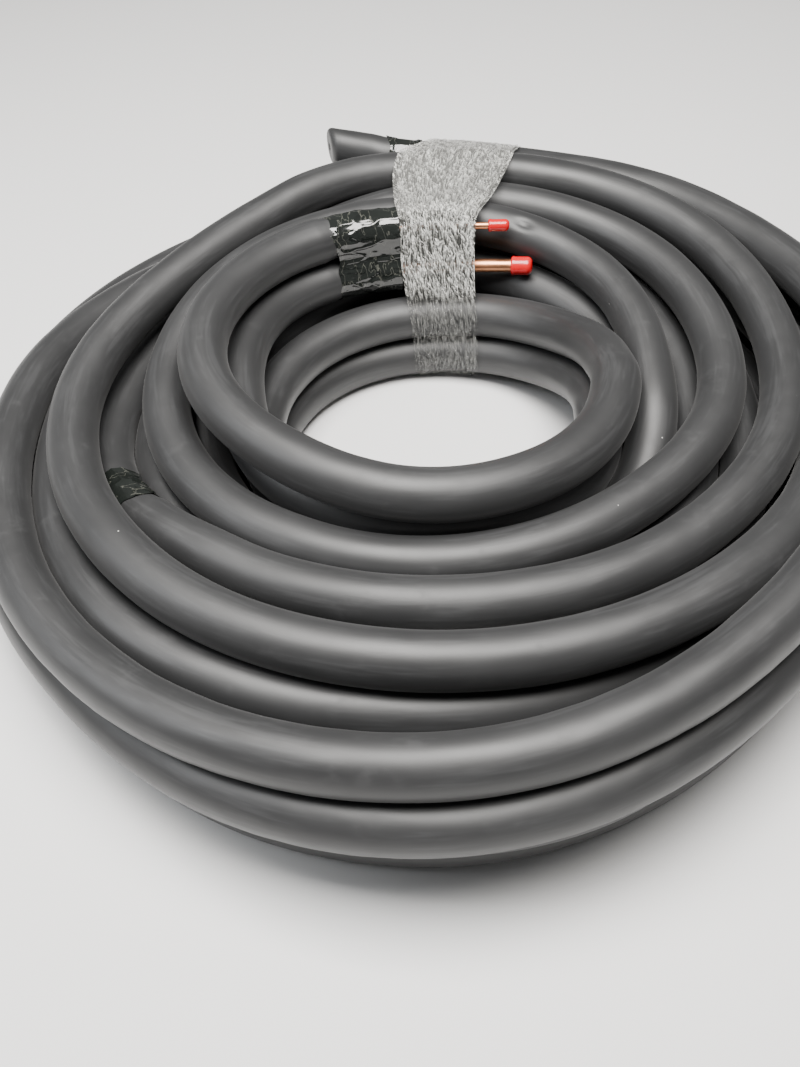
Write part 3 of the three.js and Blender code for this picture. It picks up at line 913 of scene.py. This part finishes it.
@dataclass
class Sleeve:
    """One length of foam, swept along its line, flattened where it presses on what is next to it."""

    node: str
    line: str
    start: float
    end: float
    tapes: list[tuple[float, float]]
    open_start: float = 0.0
    open_end: float = 0.0

    def outline(self, bundle: Bundle, turns: Array) -> tuple[Array, Array, Array]:
        """Radius of the foam in each direction of each ring.

        The section is a soft minimum of the full circle and of the planes halfway to each neighbour:
        rho = (R^-p + sum_i (d_i / 2 / cos(phi - phi_i))^-p)^(-1/p).

        Args:
            bundle: the bundle.
            turns: turn counts of the rings.

        Returns:
            The rings' radii and heights, shape (n,), and the section's radii, shape (n, m).
        """
        radius, height = bundle.lines[self.line].at(turns)
        phi = np.linspace(0, 2 * math.pi, FOAM_SIDES, endpoint=False) + math.pi
        share = neck_share(turns, self.tapes)[:, None]
        full = FOAM_RADIUS * FOAM_FULLNESS * share * np.ones_like(phi)
        along = turns * 2 * math.pi * np.maximum(radius, 0.1)
        lumps = np.stack(
            [np.tile(along[:, None] / 0.11, (1, FOAM_SIDES)), np.cos(phi) * np.ones_like(full),
             np.sin(phi) * np.ones_like(full)], -1)
        full = full + 0.00016 * waves(lumps, seed=len(self.node) + int(self.start * 7), octaves=2)
        power = full**-PRESS_SHARPNESS
        for middle in bundle.others(self.line, turns):
            dr, dz = middle[:, 0] - radius, middle[:, 1] - height
            gap = np.hypot(dr, dz)
            facing = np.cos(phi - np.arctan2(dz, dr)[:, None])
            near = (gap < 2.2 * FOAM_RADIUS)[:, None] & (facing > 0.2)
            wall = (gap[:, None] / 2 - 0.00005) / np.maximum(facing, 0.2)
            power += np.where(near, wall**-PRESS_SHARPNESS, 0.0)
        down = np.maximum(-np.sin(phi), 0.02)
        power += ((height[:, None] - 0.00005) / down) ** -PRESS_SHARPNESS
        return radius, height, power ** (-1 / PRESS_SHARPNESS)

    def build(self, bundle: Bundle) -> bpy.types.Object:
        """Sweeps the sleeve, with rounded open ends and the mouth of the pipe's bore.

        Args:
            bundle: the bundle.

        Returns:
            The object.
        """
        marked = any(mark.line == self.line and self.start < mark.turn < self.end for mark in MARKS)
        turns = bundle.arc_turns(self.line, self.start, self.end, MARKED_STEP if marked else FOAM_STEP)
        turns, shrink, bore = self.round_ends(bundle, turns)
        radius, height, section = self.outline(bundle, turns)
        section = np.where(bore > 0, bore, section * shrink)
        direction = np.linspace(0, 2 * math.pi, FOAM_SIDES, endpoint=False)
        section = section - surface_marks(self.line, turns, direction)
        phi = direction + math.pi
        r = radius[:, None] + section * np.cos(phi)
        z = height[:, None] + section * np.sin(phi)
        points = bundle.place(turns, r, z)
        around = np.linspace(0, 2 * math.pi * FOAM_RADIUS, FOAM_SIDES + 1)
        along = turns * 2 * math.pi * radius.mean()
        uv = np.stack(np.broadcast_arrays(around[None, :], along[:, None]), -1)
        return grid_mesh(self.node + "_skin", points, uv)

    def round_ends(self, bundle: Bundle, turns: Array) -> tuple[Array, Array, Array]:
        """Adds rings for each open end: a rounded edge, the end face and the way in beside the pipe.

        Args:
            bundle: the bundle.
            turns: turn counts along the sleeve.

        Returns:
            Turn counts, shares of the section kept and fixed bore radii, with the ends' rings added.
        """
        shrink = np.ones((len(turns), 1))
        bore = np.zeros((len(turns), 1))
        for diameter, at, way in ((self.open_start, self.start, 1), (self.open_end, self.end, -1)):
            if not diameter:
                continue
            reach = 2 * math.pi * float(bundle.lines[self.line].at(np.array([at]))[0][0])
            keep = np.abs(turns - at) * reach > END_ROUNDING
            angle = np.linspace(0, math.pi / 2, END_RINGS)
            round_turns = at + way * END_ROUNDING * (1 - np.sin(angle)) / reach
            round_share = 1 - (END_ROUNDING / FOAM_RADIUS) * (1 - np.cos(angle))
            hole = diameter / 2 + 0.0004
            face = [0.9 * (FOAM_RADIUS - END_ROUNDING), 0.5 * FOAM_RADIUS, hole + 0.0008, hole]
            inner_turns = at + way * np.array([0, 0, 0, 0.0006, 0.004, 0.012, 0.03]) / reach
            inner_bore = np.array([*face, hole, hole, hole])
            rings_turns = np.concatenate([round_turns, inner_turns])
            rings_share = np.concatenate([round_share, np.ones(len(inner_bore))])[:, None]
            rings_bore = np.concatenate([np.zeros(END_RINGS), inner_bore])[:, None]
            if way > 0:
                rings_turns, rings_share, rings_bore = rings_turns[::-1], rings_share[::-1], rings_bore[::-1]
                turns = np.concatenate([rings_turns, turns[keep]])
                shrink = np.concatenate([rings_share, shrink[keep]])
                bore = np.concatenate([rings_bore, bore[keep]])
            else:
                turns = np.concatenate([turns[keep], rings_turns])
                shrink = np.concatenate([shrink[keep], rings_share])
                bore = np.concatenate([bore[keep], rings_bore])
        return turns, shrink, bore


def surface_marks(line: str, turns: Array, direction: Array) -> Array:
    """Dents and creases that the photograph shows in certain sleeves, as depths.

    Args:
        line: the foam line.
        turns: turn counts of the rings.
        direction: directions round the section from the inner side, downwards first.

    Returns:
        Depths, shape (n, m).
    """
    depth = np.zeros((len(turns), len(direction)))
    for mark in MARKS:
        if mark.line == line:
            away = (direction - mark.direction + math.pi) % (2 * math.pi) - math.pi
            along = bump(mark.turn, mark.length, turns)[:, None]
            depth += mark.depth * along * bump(0, mark.width, away)[None, :]
    return depth


def build_foam(bundle: Bundle) -> None:
    """Builds every foam sleeve and the hidden turns.

    Args:
        bundle: the bundle.
    """
    pair = (INNER_END, PAIR_TAPE_END)
    joint = (JOINT_AT - JOINT_TAPE_SPAN / 2, JOINT_AT + JOINT_TAPE_SPAN / 2)
    outer = (LIQUID_END - OUTER_TAPE_SPAN - OUTER_TAPE_SETBACK, LIQUID_END - OUTER_TAPE_SETBACK)
    lines = {
        "liquid": (LIQUID_TURNS, [JOINT_AT], LIQUID_END, [pair, joint, outer], LIQUID_DIAMETER),
        "suction": (SUCTION_TURNS, [], SUCTION_END, [pair], SUCTION_DIAMETER),
    }
    for line, (count, joints, end, tapes, diameter) in lines.items():
        cuts = sorted([INNER_END, *(i + 1 + FILM_CENTRE for i in range(count)), *joints, end])
        for i, (start, stop) in enumerate(zip(cuts[:-1], cuts[1:])):
            node = f"foam_sleeve_{line}_{i + 1}"
            first, last = i == 0, i == len(cuts) - 2
            sleeve = Sleeve(node, line, start, stop, tapes, diameter * first, diameter * last)
            finish_piece(sleeve.build(bundle), FOAM, node)
    floor = Sleeve("foam_sleeve_floor", "floor", FILM_CENTRE, 1 + FILM_CENTRE, [])
    finish_piece(floor.build(bundle), FOAM, "foam_sleeve_floor")
    for i, radius in enumerate(bundle.hidden_radii):
        turns = np.linspace(0, 1, HIDDEN_RINGS)
        phi = np.linspace(0, 2 * math.pi, HIDDEN_SIDES, endpoint=False)
        ring = FOAM_RADIUS * np.ones((HIDDEN_RINGS, HIDDEN_SIDES))
        ring = np.minimum(ring, (bundle.hidden_height - 0.0003) / np.maximum(-np.sin(phi), 0.05))
        points = bundle.place(turns, radius + ring * np.cos(phi), bundle.hidden_height + ring * np.sin(phi))
        around = np.linspace(0, 0.126, HIDDEN_SIDES + 1)
        uv = np.stack(np.meshgrid(around, turns * 2 * math.pi * radius), -1)
        piece = grid_mesh(f"hidden_turn_{i + 1}", points, uv)
        finish_piece(piece, FOAM, "hidden_floor_turns")


# Tapes


def tape_uv(rings: int, sides: int, around: float, along: float) -> Array:
    """UV of a tape in metres.

    Args:
        rings: rings along it.
        sides: points round it.
        around: length round it.
        along: its width along the pipe.

    Returns:
        UVs, shape (rings, sides + 1, 2).
    """
    return np.stack(np.meshgrid(np.linspace(0, around, sides + 1), np.linspace(0, along, rings)), -1)


def crinkle(around: Array, along: Array, seed: int) -> Array:
    """Folds of wrapped tape: sharp ridges that lean along the pipe, 1 - |f|, and soft swells.

    Args:
        around: metres round the tape.
        along: metres along the pipe.
        seed: picks the folds.

    Returns:
        Heights from 0 to 1.
    """
    places = np.stack([around / 0.021, along / 0.05], -1)
    ridge = 1 - np.abs(waves(places, seed, 2, 0.6))
    swell = waves(np.stack([around / 0.05, along / 0.03], -1), seed + 9, 2)
    return np.clip(0.75 * ridge**5 + 0.25 * (0.5 + 0.5 * swell), 0, 1)


def build_line_tape(bundle: Bundle, node: str, line: str, start: float, end: float, seed: int) -> None:
    """Builds a tape round one sleeve.

    Args:
        bundle: the bundle.
        node: the CAD node.
        line: the foam line.
        start: turn count of its first edge.
        end: turn count of its last edge.
        seed: picks its folds.
    """
    radius = float(bundle.lines[line].at(np.array([start]))[0][0])
    width = (end - start) * 2 * math.pi * radius
    rings, sides = max(12, int(width / TAPE_STEP)), 96
    phi = np.linspace(0, 2 * math.pi, sides, endpoint=False) + 0.3
    around = phi * FOAM_RADIUS
    share = np.linspace(0, 1, rings)[:, None]
    ragged = 0.06 * waves(np.stack([around / 0.03, np.zeros(sides)], -1), seed + 3, 3)
    turns = start + (end - start) * (share + ragged * (2 * share - 1))
    r, z = bundle.lines[line].at(turns)
    lift = crinkle(around[None, :] * np.ones_like(share), share * width * np.ones(sides), seed)
    section = FOAM_RADIUS - NECK_DEPTH + TAPE_CLEARANCE + TAPE_THICKNESS + TAPE_FOLD * lift
    section = section + 0.0003 * (np.abs(2 * share - 1) > 0.96)
    out = outwards(turns)
    points = bundle.centre + out * (r + section * np.cos(phi))[..., None]
    points = points + np.array([0, 0, 1.0]) * (z + section * np.sin(phi))[..., None]
    uv = tape_uv(rings, sides, 2 * math.pi * FOAM_RADIUS, width)
    finish_piece(grid_mesh(node + "_wrap", points, uv), TAPE, node)


def pair_outline(bundle: Bundle, turns: Array, around: Array, reach: float) -> tuple[Array, Array]:
    """A belt round both inner sleeves, evenly spaced by length, that dips between them.

    With h the way from the liquid sleeve to the suction sleeve and L their distance, the belt runs
    round the first by pi R, straight for L, round the second by pi R and straight back.

    Args:
        bundle: the bundle.
        turns: turn counts, shape (n, m).
        around: share of the way round, from 0 to 1, shape (m,).
        reach: the belt's radius R.

    Returns:
        Points of radius and height and their outward normals, shape (n, m, 2).
    """
    first = np.stack(bundle.lines["liquid"].at(turns), -1)
    second = np.stack(bundle.lines["suction"].at(turns), -1)
    gap = np.linalg.norm(second - first, axis=-1)
    heading = np.arctan2(*np.moveaxis((second - first)[..., ::-1], -1, 0))
    arc = math.pi * reach
    s = around * 2 * (gap + arc)
    on_second = (s > arc + gap / 2) & (s < 2 * arc + 1.5 * gap)
    bend = np.clip(s, 0, arc) + np.clip(s - arc - gap, 0, arc)
    angle = heading + math.pi / 2 + bend / reach
    normal = np.stack([np.cos(angle), np.sin(angle)], -1)
    ahead = np.stack([np.cos(heading), np.sin(heading)], -1)
    outbound = np.clip(s - arc, 0, gap)
    inbound = np.clip(s - 2 * arc - gap, 0, gap)
    slide = np.where(on_second, outbound - gap - inbound, outbound - inbound + gap * (inbound > 0))
    dip = PAIR_TAPE_DIP * np.sin(math.pi * (outbound + inbound) / gap) ** 2
    middle = np.where(on_second[..., None], second, first)
    return middle + normal * (reach - dip)[..., None] + ahead * slide[..., None], normal


def build_pair_tape(bundle: Bundle) -> None:
    """Builds the tape round both inner ends: a belt round the two sleeves, folded and ragged.

    Args:
        bundle: the bundle.
    """
    sides, rings, seed = 190, 80, 31
    around = np.arange(sides) / sides
    share = np.linspace(0, 1, rings)[:, None]
    edge = PAIR_TAPE_END + (1.0 / 360) * waves(np.stack([around * 6, 0 * around], -1), seed, 3)
    turns = INNER_END + (edge - INNER_END) * share
    reach = FOAM_RADIUS - NECK_DEPTH + TAPE_CLEARANCE + TAPE_THICKNESS
    place, normal = pair_outline(bundle, turns, around, reach)
    length, width = 0.2, 0.07
    lift = crinkle(around * length * np.ones_like(share), share * width * np.ones(sides), seed)
    place = place + normal * (PAIR_TAPE_FOLD * lift)[..., None]
    points = bundle.centre + outwards(turns) * place[..., :1] + np.array([0, 0, 1.0]) * place[..., 1:]
    piece = grid_mesh("inner_end_tape_wrap", points, tape_uv(rings, sides, length, width))
    finish_piece(piece, TAPE, "inner_end_tape")


# Film


@dataclass(frozen=True)
class FilmEdge:
    """One edge of the film: its x from the bore's axis over the radius."""

    radii: tuple[float, ...]
    places: tuple[float, ...]

    def at(self, radius: Array) -> Array:
        """The edge's x.

        Args:
            radius: radii.

        Returns:
            Places across.
        """
        return hermite(np.array(self.radii), np.array(self.places), radius)


FILM_LEFT = FilmEdge(
    (0.120, 0.160, 0.190, 0.216, 0.313, 0.374, 0.420),
    (-0.005, -0.017, -0.019, -0.021, -0.011, 0.022, 0.040),
)
FILM_RIGHT = FilmEdge(
    (0.120, 0.160, 0.187, 0.235, 0.300, 0.377, 0.420),
    (0.055, 0.052, 0.055, 0.075, 0.098, 0.119, 0.128),
)


def film_surface(bundle: Bundle, across: Array, directions: Array, stand: float) -> Array:
    """The film pulled tight round the bundle: a convex hull of the turns at each place across it.

    Each hull is met by rays from a point inside the bundle, so rows run along the wrap.

    Args:
        bundle: the bundle.
        across: places from the left edge, 0, to the right edge, 1.
        directions: angles of the rays.
        stand: how far the film stands off the foam.

    Returns:
        Points of radius, height and x, shape (directions, across, 3).
    """
    inside = np.array([0.262, 0.072])
    way = np.stack([np.cos(directions), np.sin(directions)], -1)
    phi = np.linspace(0, 2 * math.pi, 40, endpoint=False)
    circle = np.stack([np.cos(phi), np.sin(phi)], -1) * (FOAM_RADIUS * 1.01 + stand)
    rows = []
    for share in across:
        corners = []
        for line in bundle.lines.values():
            for shift in range(-1, LIQUID_TURNS + 2):
                turn = shift + film_turn(0.25, share)
                for _ in range(3):
                    if not line.start <= turn <= line.end:
                        break
                    r, z = line.at(np.array([turn]))
                    turn = shift + film_turn(float(r[0]), share)
                else:
                    corners.append(circle + np.array([r[0], z[0]]))
        corners += stub_corners(bundle, share, stand)
        hull = convex_hull(np.concatenate(corners))
        edge = np.roll(hull, -1, 0) - hull
        normal = np.stack([edge[:, 1], -edge[:, 0]], -1)
        reach = np.einsum("ed,ed->e", normal, hull - inside)
        facing = way @ normal.T
        length = np.where(facing > 1e-9, reach / np.maximum(facing, 1e-9), 9.0).min(1)
        rows.append(inside + way * length[:, None])
    place = np.stack(rows, 1)
    left, right = FILM_LEFT.at(place[..., 0]), FILM_RIGHT.at(place[..., 0])
    x = left + (right - left) * across
    return np.concatenate([place, x[..., None]], -1)


def stub_corners(bundle: Bundle, share: float, stand: float) -> list[Array]:
    """Sections of the bare pipes under the film.

    Args:
        bundle: the bundle.
        share: place across the film.
        stand: how far the film stands off them.

    Returns:
        Corners of radius and height, shape (n, 2), for each pipe.
    """
    phi = np.linspace(0, 2 * math.pi, 24, endpoint=False)
    found = []
    for line, end, diameter in STUBS:
        path = stub_course(bundle, line, end, diameter)[0] - bundle.centre
        radius = np.hypot(path[:, 0], path[:, 1])
        left, right = FILM_LEFT.at(radius), FILM_RIGHT.at(radius)
        shares = (path[:, 0] - left) / (right - left)
        order = np.argsort(shares)
        r = np.interp(share, shares[order], radius[order])
        z = np.interp(share, shares[order], path[order, 2])
        reach = diameter / 2 + 0.0035 + stand
        found.append(np.stack([r + reach * np.cos(phi), z + reach * np.sin(phi)], -1))
    return found


def film_turn(radius: float, share: float) -> float:
    """Turn count, from the back, where a lane passes under a place across the film.

    Args:
        radius: the lane's radius.
        share: place across the film.

    Returns:
        The turn count, negative to the right.
    """
    left, right = FILM_LEFT.at(np.array([radius]))[0], FILM_RIGHT.at(np.array([radius]))[0]
    return -math.asin((left + (right - left) * share) / radius) / (2 * math.pi)


def build_film(bundle: Bundle) -> None:
    """Builds the film: two crinkled layers whose folds run along the wrap.

    Args:
        bundle: the bundle.
    """
    middle = FILM_COLUMNS // 2
    for layer, (stand, inset, seed) in enumerate(FILM_LAYERS):
        directions = film_directions(bundle, stand)
        across = np.linspace(inset, 1 - inset * 0.6, FILM_COLUMNS)
        place = film_surface(bundle, across, directions, stand)
        r, z, x = place[..., 0], place[..., 1], place[..., 2]
        dr = np.diff(r[:, middle], append=r[0, middle])
        dz = np.diff(z[:, middle], append=z[0, middle])
        step = np.hypot(dr, dz)
        along = np.concatenate([[0], np.cumsum(step[:-1])])[:, None] * np.ones(len(across))
        wide = across[None, :] * 0.085 * np.ones_like(along)
        rim = np.exp(-((np.minimum(across - across[0], across[-1] - across) / 0.018) ** 2))
        folds = np.maximum(film_folds(along, wide, seed), 0.9 * rim)
        normal = surface_normal(r, z)
        depth = FILM_FOLD * folds
        r = r + normal[..., 0] * depth
        z = np.maximum(z + normal[..., 1] * depth, 0.0003)
        y = np.sqrt(np.maximum(r * r - x * x, 1e-6))
        points = bundle.centre + np.stack([x, y, z], -1)
        uv = np.stack([wide, along], -1)
        uv = np.concatenate([uv, uv[:1] + [0, step.sum()]], 0)
        points = np.concatenate([points, points[:1]], 0)
        haze = film_haze(r, z, layer)
        milk = 0.16 * smooth_step(0.19, 0.205, r) * smooth_step(0.1, 0.125, z)
        fields = {"haze": haze, "crest": folds, "milk": milk}
        values = {key: np.concatenate([field, field[:1]], 0) for key, field in fields.items()}
        piece = grid_mesh(f"stretch_film_layer_{layer + 1}", points, uv, closed=False, values=values)
        finish_piece(piece, FILM, "stretch_film")


def film_directions(bundle: Bundle, stand: float) -> Array:
    """Ray angles spaced evenly by length round the middle of the film.

    Args:
        bundle: the bundle.
        stand: how far the film stands off the foam.

    Returns:
        Angles.
    """
    fine = np.linspace(0, 2 * math.pi, 1441)
    place = film_surface(bundle, np.array([0.5]), fine, stand)[:, 0, :2]
    length = np.concatenate([[0], np.cumsum(np.linalg.norm(np.diff(place, axis=0), axis=1))])
    count = int(length[-1] / 0.0016)
    return np.interp(np.linspace(0, length[-1], count, endpoint=False), length, fine)


def surface_normal(r: Array, z: Array) -> Array:
    """Outward normals of the film's rows in the plane of radius and height.

    Args:
        r: radii, rows along the wrap.
        z: heights.

    Returns:
        Normals, shape (..., 2).
    """
    dr = np.roll(r, -1, 0) - np.roll(r, 1, 0)
    dz = np.roll(z, -1, 0) - np.roll(z, 1, 0)
    size = np.maximum(np.hypot(dr, dz), 1e-9)
    return np.stack([dz / size, -dr / size], -1)


def film_folds(along: Array, wide: Array, seed: int) -> Array:
    """Crinkles of the film: sharp crests about 4 mm apart that lean along the wrap.

    Args:
        along: metres along the wrap.
        wide: metres across it.
        seed: picks the folds.

    Returns:
        Heights from 0 to 1.
    """
    lean = wide + 0.12 * along
    fine = 1 - np.abs(waves(np.stack([lean / 0.011, along / 0.06], -1), seed, 2, 0.6))
    cross = 1 - np.abs(waves(np.stack([wide / 0.016, along / 0.022], -1), seed + 4, 2, 0.6))
    return np.clip(0.65 * fine**4 + 0.35 * cross**4, 0, 1)


def film_haze(r: Array, z: Array, layer: int) -> Array:
    """How hazy the film is: most on top, where many layers lie, and least towards the bore's floor.

    Args:
        r: radii.
        z: heights.
        layer: which layer.

    Returns:
        Haze from 0 to 1.
    """
    top = smooth_step(0.19, 0.205, r) * smooth_step(0.1, 0.125, z)
    over_pipes = smooth_step(0.215, 0.2, r) * smooth_step(0.085, 0.1, z)
    middle = smooth_step(0.045, 0.11, z)
    return 0.03 + 0.1 * middle + 0.24 * top + 0.42 * over_pipes - 0.02 * layer


# Copper ends and caps


def stub_course(
    bundle: Bundle, line: str, end: tuple[float, float, float], diameter: float
) -> tuple[Array, Array]:
    """The bare pipe's way from its sleeve to its tip, as the CAD source lays it.

    Args:
        bundle: the bundle.
        line: the foam line.
        end: turn count, column and row of the cap's closed end.
        diameter: the pipe's diameter.

    Returns:
        Points along the pipe from its tip inwards, and the way that the tip points.
    """
    turn, column, row = end
    floor = FOAM_RADIUS * math.cos(math.pi / 10)
    top_radius = np.array([[INNER_RADIUS + column * PITCH]])
    top_height = np.array([[floor + row * PITCH]])
    top = bundle.place(np.array([turn]), top_radius, top_height)[0, 0]
    inside = bundle.arc_turns(line, INNER_END, INNER_END + 0.05, 0.004)
    radius, height = bundle.lines[line].at(inside)
    rest = bundle.place(inside, radius[:, None], height[:, None])[:, 0]
    out = outwards(np.array([INNER_END]))[0]
    along = np.array([-out[1], out[0], 0.0])
    bend = rest[0] - along * 3 * diameter
    axis = (top - bend) / np.linalg.norm(top - bend)
    tip = top + axis * (CAP_REACH - CAP_LENGTH)
    start = tip - axis * (CAP_REACH + 0.003)
    t = np.linspace(0, 1, 16)[:-1, None]
    curve = (1 - t) ** 2 * start + 2 * t * (1 - t) * bend + t * t * rest[0]
    straight = tip + (start - tip) * np.linspace(0, 1, 6)[:-1, None]
    return np.concatenate([straight, curve, rest]), axis


def tube(name: str, path: Array, profile: list[tuple[float, float]], sides: int) -> bpy.types.Object:
    """A tube along a path, with end rings from a profile.

    Args:
        name: the object's name.
        path: points, shape (n, 3).
        profile: radius, and place along the path in metres, of each ring.
        sides: points round it.

    Returns:
        The object.
    """
    step = np.linalg.norm(np.diff(path, axis=0), axis=1)
    length = np.concatenate([[0], np.cumsum(step)])
    places = np.array([place for _, place in profile])
    middle = np.stack([np.interp(places, length, path[:, i]) for i in range(3)], -1)
    ahead = np.stack([np.interp(places + 0.002, length, path[:, i]) for i in range(3)], -1)
    behind = np.stack([np.interp(places - 0.002, length, path[:, i]) for i in range(3)], -1)
    way = (ahead - behind) / np.linalg.norm(ahead - behind, axis=1)[:, None]
    side = np.cross(way, [0, 0, 1.0])
    side /= np.linalg.norm(side, axis=1)[:, None]
    up = np.cross(side, way)
    phi = np.linspace(0, 2 * math.pi, sides, endpoint=False)
    radius = np.array([r for r, _ in profile])[:, None, None]
    ring = side[:, None] * np.cos(phi)[:, None] + up[:, None] * np.sin(phi)[:, None]
    points = middle[:, None] + radius * ring
    uv = np.stack(np.meshgrid(np.linspace(0, 1, sides + 1), places * 10), -1)
    return grid_mesh(name, points, uv)


def build_pipe_ends(bundle: Bundle) -> None:
    """Builds the bare copper ends and their caps, and the pipe ends in the outer sleeves.

    Args:
        bundle: the bundle.
    """
    for line, end, diameter in STUBS:
        path, axis = stub_course(bundle, line, end, diameter)
        total = float(np.linalg.norm(np.diff(path, axis=0), axis=1).sum())
        inner = diameter / 2 - PIPE_WALL
        outer = diameter / 2
        profile = [(inner, 0.012), (inner, 0.0004), (inner + 0.0002, 0.0)]
        profile += [(outer - 0.0003, 0.0), (outer, 0.0005)]
        profile += [(outer, place) for place in np.linspace(0.003, total - 0.001, 48)]
        pipe = tube(f"copper_{line}_stub", path, profile, 40)
        finish_piece(pipe, COPPER, f"copper_pipe_{line}_inner_end")
        build_cap(line, path[0], axis, diameter)
    outers = (("liquid", LIQUID_END, LIQUID_DIAMETER), ("suction", SUCTION_END, SUCTION_DIAMETER))
    for line, end, diameter in outers:
        turns = bundle.arc_turns(line, end - 0.03, end, 0.004)
        radius, height = bundle.lines[line].at(turns)
        path = bundle.place(turns, radius[:, None], height[:, None])[::-1, 0]
        outer, inner = diameter / 2, diameter / 2 - PIPE_WALL
        rim = PIPE_RECESS
        profile = [(inner, rim + 0.02), (inner, rim + 0.0003), (inner + 0.0002, rim), (outer - 0.0002, rim)]
        profile += [(outer, rim + 0.0003), (outer, rim + 0.012), (outer, rim + 0.025)]
        tip = tube(f"copper_{line}_outer_tip", path, profile, 32)
        finish_piece(tip, COPPER, f"copper_pipe_{line}_outer_end")


def build_cap(line: str, tip: Array, axis: Array, diameter: float) -> None:
    """Builds a dipped vinyl cap: a bead at its mouth, a straight wall and a round closed end.

    Args:
        line: the foam line.
        tip: the pipe's tip.
        axis: the way that it points.
        diameter: the pipe's diameter.
    """
    inside = diameter / 2 + CAP_CLEARANCE
    outside = inside + CAP_WALL
    nose = min(outside * 0.75, CAP_LENGTH - CAP_REACH)
    bead = 0.0003
    rings = [(inside, 0.0), (inside + 0.0004, -0.0001), (outside - 0.0006, 0.0), (outside - 0.0001, 0.0004)]
    rings += [(outside + bead, 0.0012), (outside + bead, 0.0024), (outside, 0.0034)]
    rings += [(outside, CAP_LENGTH - nose - 0.001)]
    for angle in np.linspace(0, math.pi / 2, 10):
        reach = outside - nose + nose * math.cos(angle)
        rings.append((max(reach if angle < 1.57 else 0.0, 0.0), CAP_LENGTH - nose + nose * math.sin(angle)))
    rings.insert(-1, (max(outside - nose, 0.0005), CAP_LENGTH))
    mouth = tip - axis * CAP_REACH
    path = np.stack([mouth - axis * 0.01, mouth + axis * 0.05])
    piece = tube(f"vinyl_cap_{line}", path, [(r, place + 0.01) for r, place in rings], 48)
    finish_piece(piece, CAP, f"cap_{line}")


# Studio


def look_at(place: Vector, target: Vector) -> Matrix:
    """A matrix at a place whose -Z looks at a target.

    Args:
        place: where it stands.
        target: what it looks at.

    Returns:
        The matrix.
    """
    turn = (target - place).to_track_quat("-Z", "Y").to_matrix().to_4x4()
    return Matrix.Translation(place) @ turn


def add_light(
    name: str, place: tuple, target: tuple, size: tuple[float, float], power: float, color: tuple
) -> None:
    """Adds a soft rectangular light.

    Args:
        name: its name.
        place: where it stands.
        target: what it looks at.
        size: its width and height.
        power: its power in watts.
        color: its colour.
    """
    light = bpy.data.lights.new(name, "AREA")
    light.shape = "RECTANGLE"
    light.size, light.size_y = size
    light.energy = power
    light.color = color
    lamp = bpy.data.objects.new(name, light)
    lamp.matrix_world = look_at(Vector(place), Vector(target))
    bpy.context.scene.collection.objects.link(lamp)


def build_studio(bundle: Bundle) -> None:
    """Adds the floor, the lights, the surrounding light and the camera.

    Args:
        bundle: the bundle.
    """
    mesh = bpy.data.meshes.new("floor")
    mesh.from_pydata([(-6, -6, 0), (6, -6, 0), (6, 6, 0), (-6, 6, 0)], [], [(0, 1, 2, 3)])
    floor = bpy.data.objects.new("floor", mesh)
    material = bpy.data.materials.new("pale_floor")
    material.use_nodes = True
    surface = material.node_tree.nodes["Principled BSDF"]
    surface.inputs["Base Color"].default_value = (0.64, 0.64, 0.64, 1.0)
    surface.inputs["Roughness"].default_value = 0.85
    mesh.materials.append(material)
    bpy.context.scene.collection.objects.link(floor)

    world = bpy.data.worlds.new("studio")
    world.use_nodes = True
    world.node_tree.nodes["Background"].inputs[0].default_value = (1.0, 1.0, 1.0, 1.0)
    world.node_tree.nodes["Background"].inputs[1].default_value = 0.17
    bpy.context.scene.world = world
    add_light("key", (-0.05, -0.2, 1.9), (0, 0, 0.05), (1.5, 1.1), 150.0, (1.0, 0.975, 0.94))
    add_light("window", (-1.5, -0.3, 1.25), (-0.1, 0, 0.1), (0.5, 1.2), 18.0, (0.96, 0.98, 1.0))

    camera = bpy.data.cameras.new("camera")
    camera.sensor_fit = "AUTO"
    camera.sensor_width = SENSOR_MM
    camera.lens = SENSOR_MM * FOCAL_PIXELS / IMAGE_HEIGHT
    body = bpy.data.objects.new("camera", camera)
    forward = Vector((0, math.cos(CAMERA_PITCH), -math.sin(CAMERA_PITCH)))
    up = Vector((0, math.sin(CAMERA_PITCH), math.cos(CAMERA_PITCH)))
    right = Vector((1, 0, 0))
    rolled_right = right * math.cos(CAMERA_ROLL) + up * math.sin(CAMERA_ROLL)
    rolled_up = up * math.cos(CAMERA_ROLL) - right * math.sin(CAMERA_ROLL)
    axes = Matrix((rolled_right, rolled_up, -forward)).transposed().to_4x4()
    place = Vector(bundle.centre) + Vector(CAMERA_PLACE)
    body.matrix_world = Matrix.Translation(place) @ axes
    bpy.context.scene.collection.objects.link(body)
    bpy.context.scene.camera = body


def main() -> None:
    logging.basicConfig(level=logging.INFO, format="%(name)s: %(message)s")
    bundle = Bundle.read()
    build_studio(bundle)
    build_foam(bundle)
    joint_start, joint_end = JOINT_AT - JOINT_TAPE_SPAN / 2, JOINT_AT + JOINT_TAPE_SPAN / 2
    build_line_tape(bundle, "joint_tape", "liquid", joint_start, joint_end, 3)
    outer_tape_end = LIQUID_END - OUTER_TAPE_SETBACK
    build_line_tape(bundle, "outer_end_tape", "liquid", outer_tape_end - OUTER_TAPE_SPAN, outer_tape_end, 21)
    build_pair_tape(bundle)
    build_pipe_ends(bundle)
    build_film(bundle)


if __name__ == "__main__":
    main()
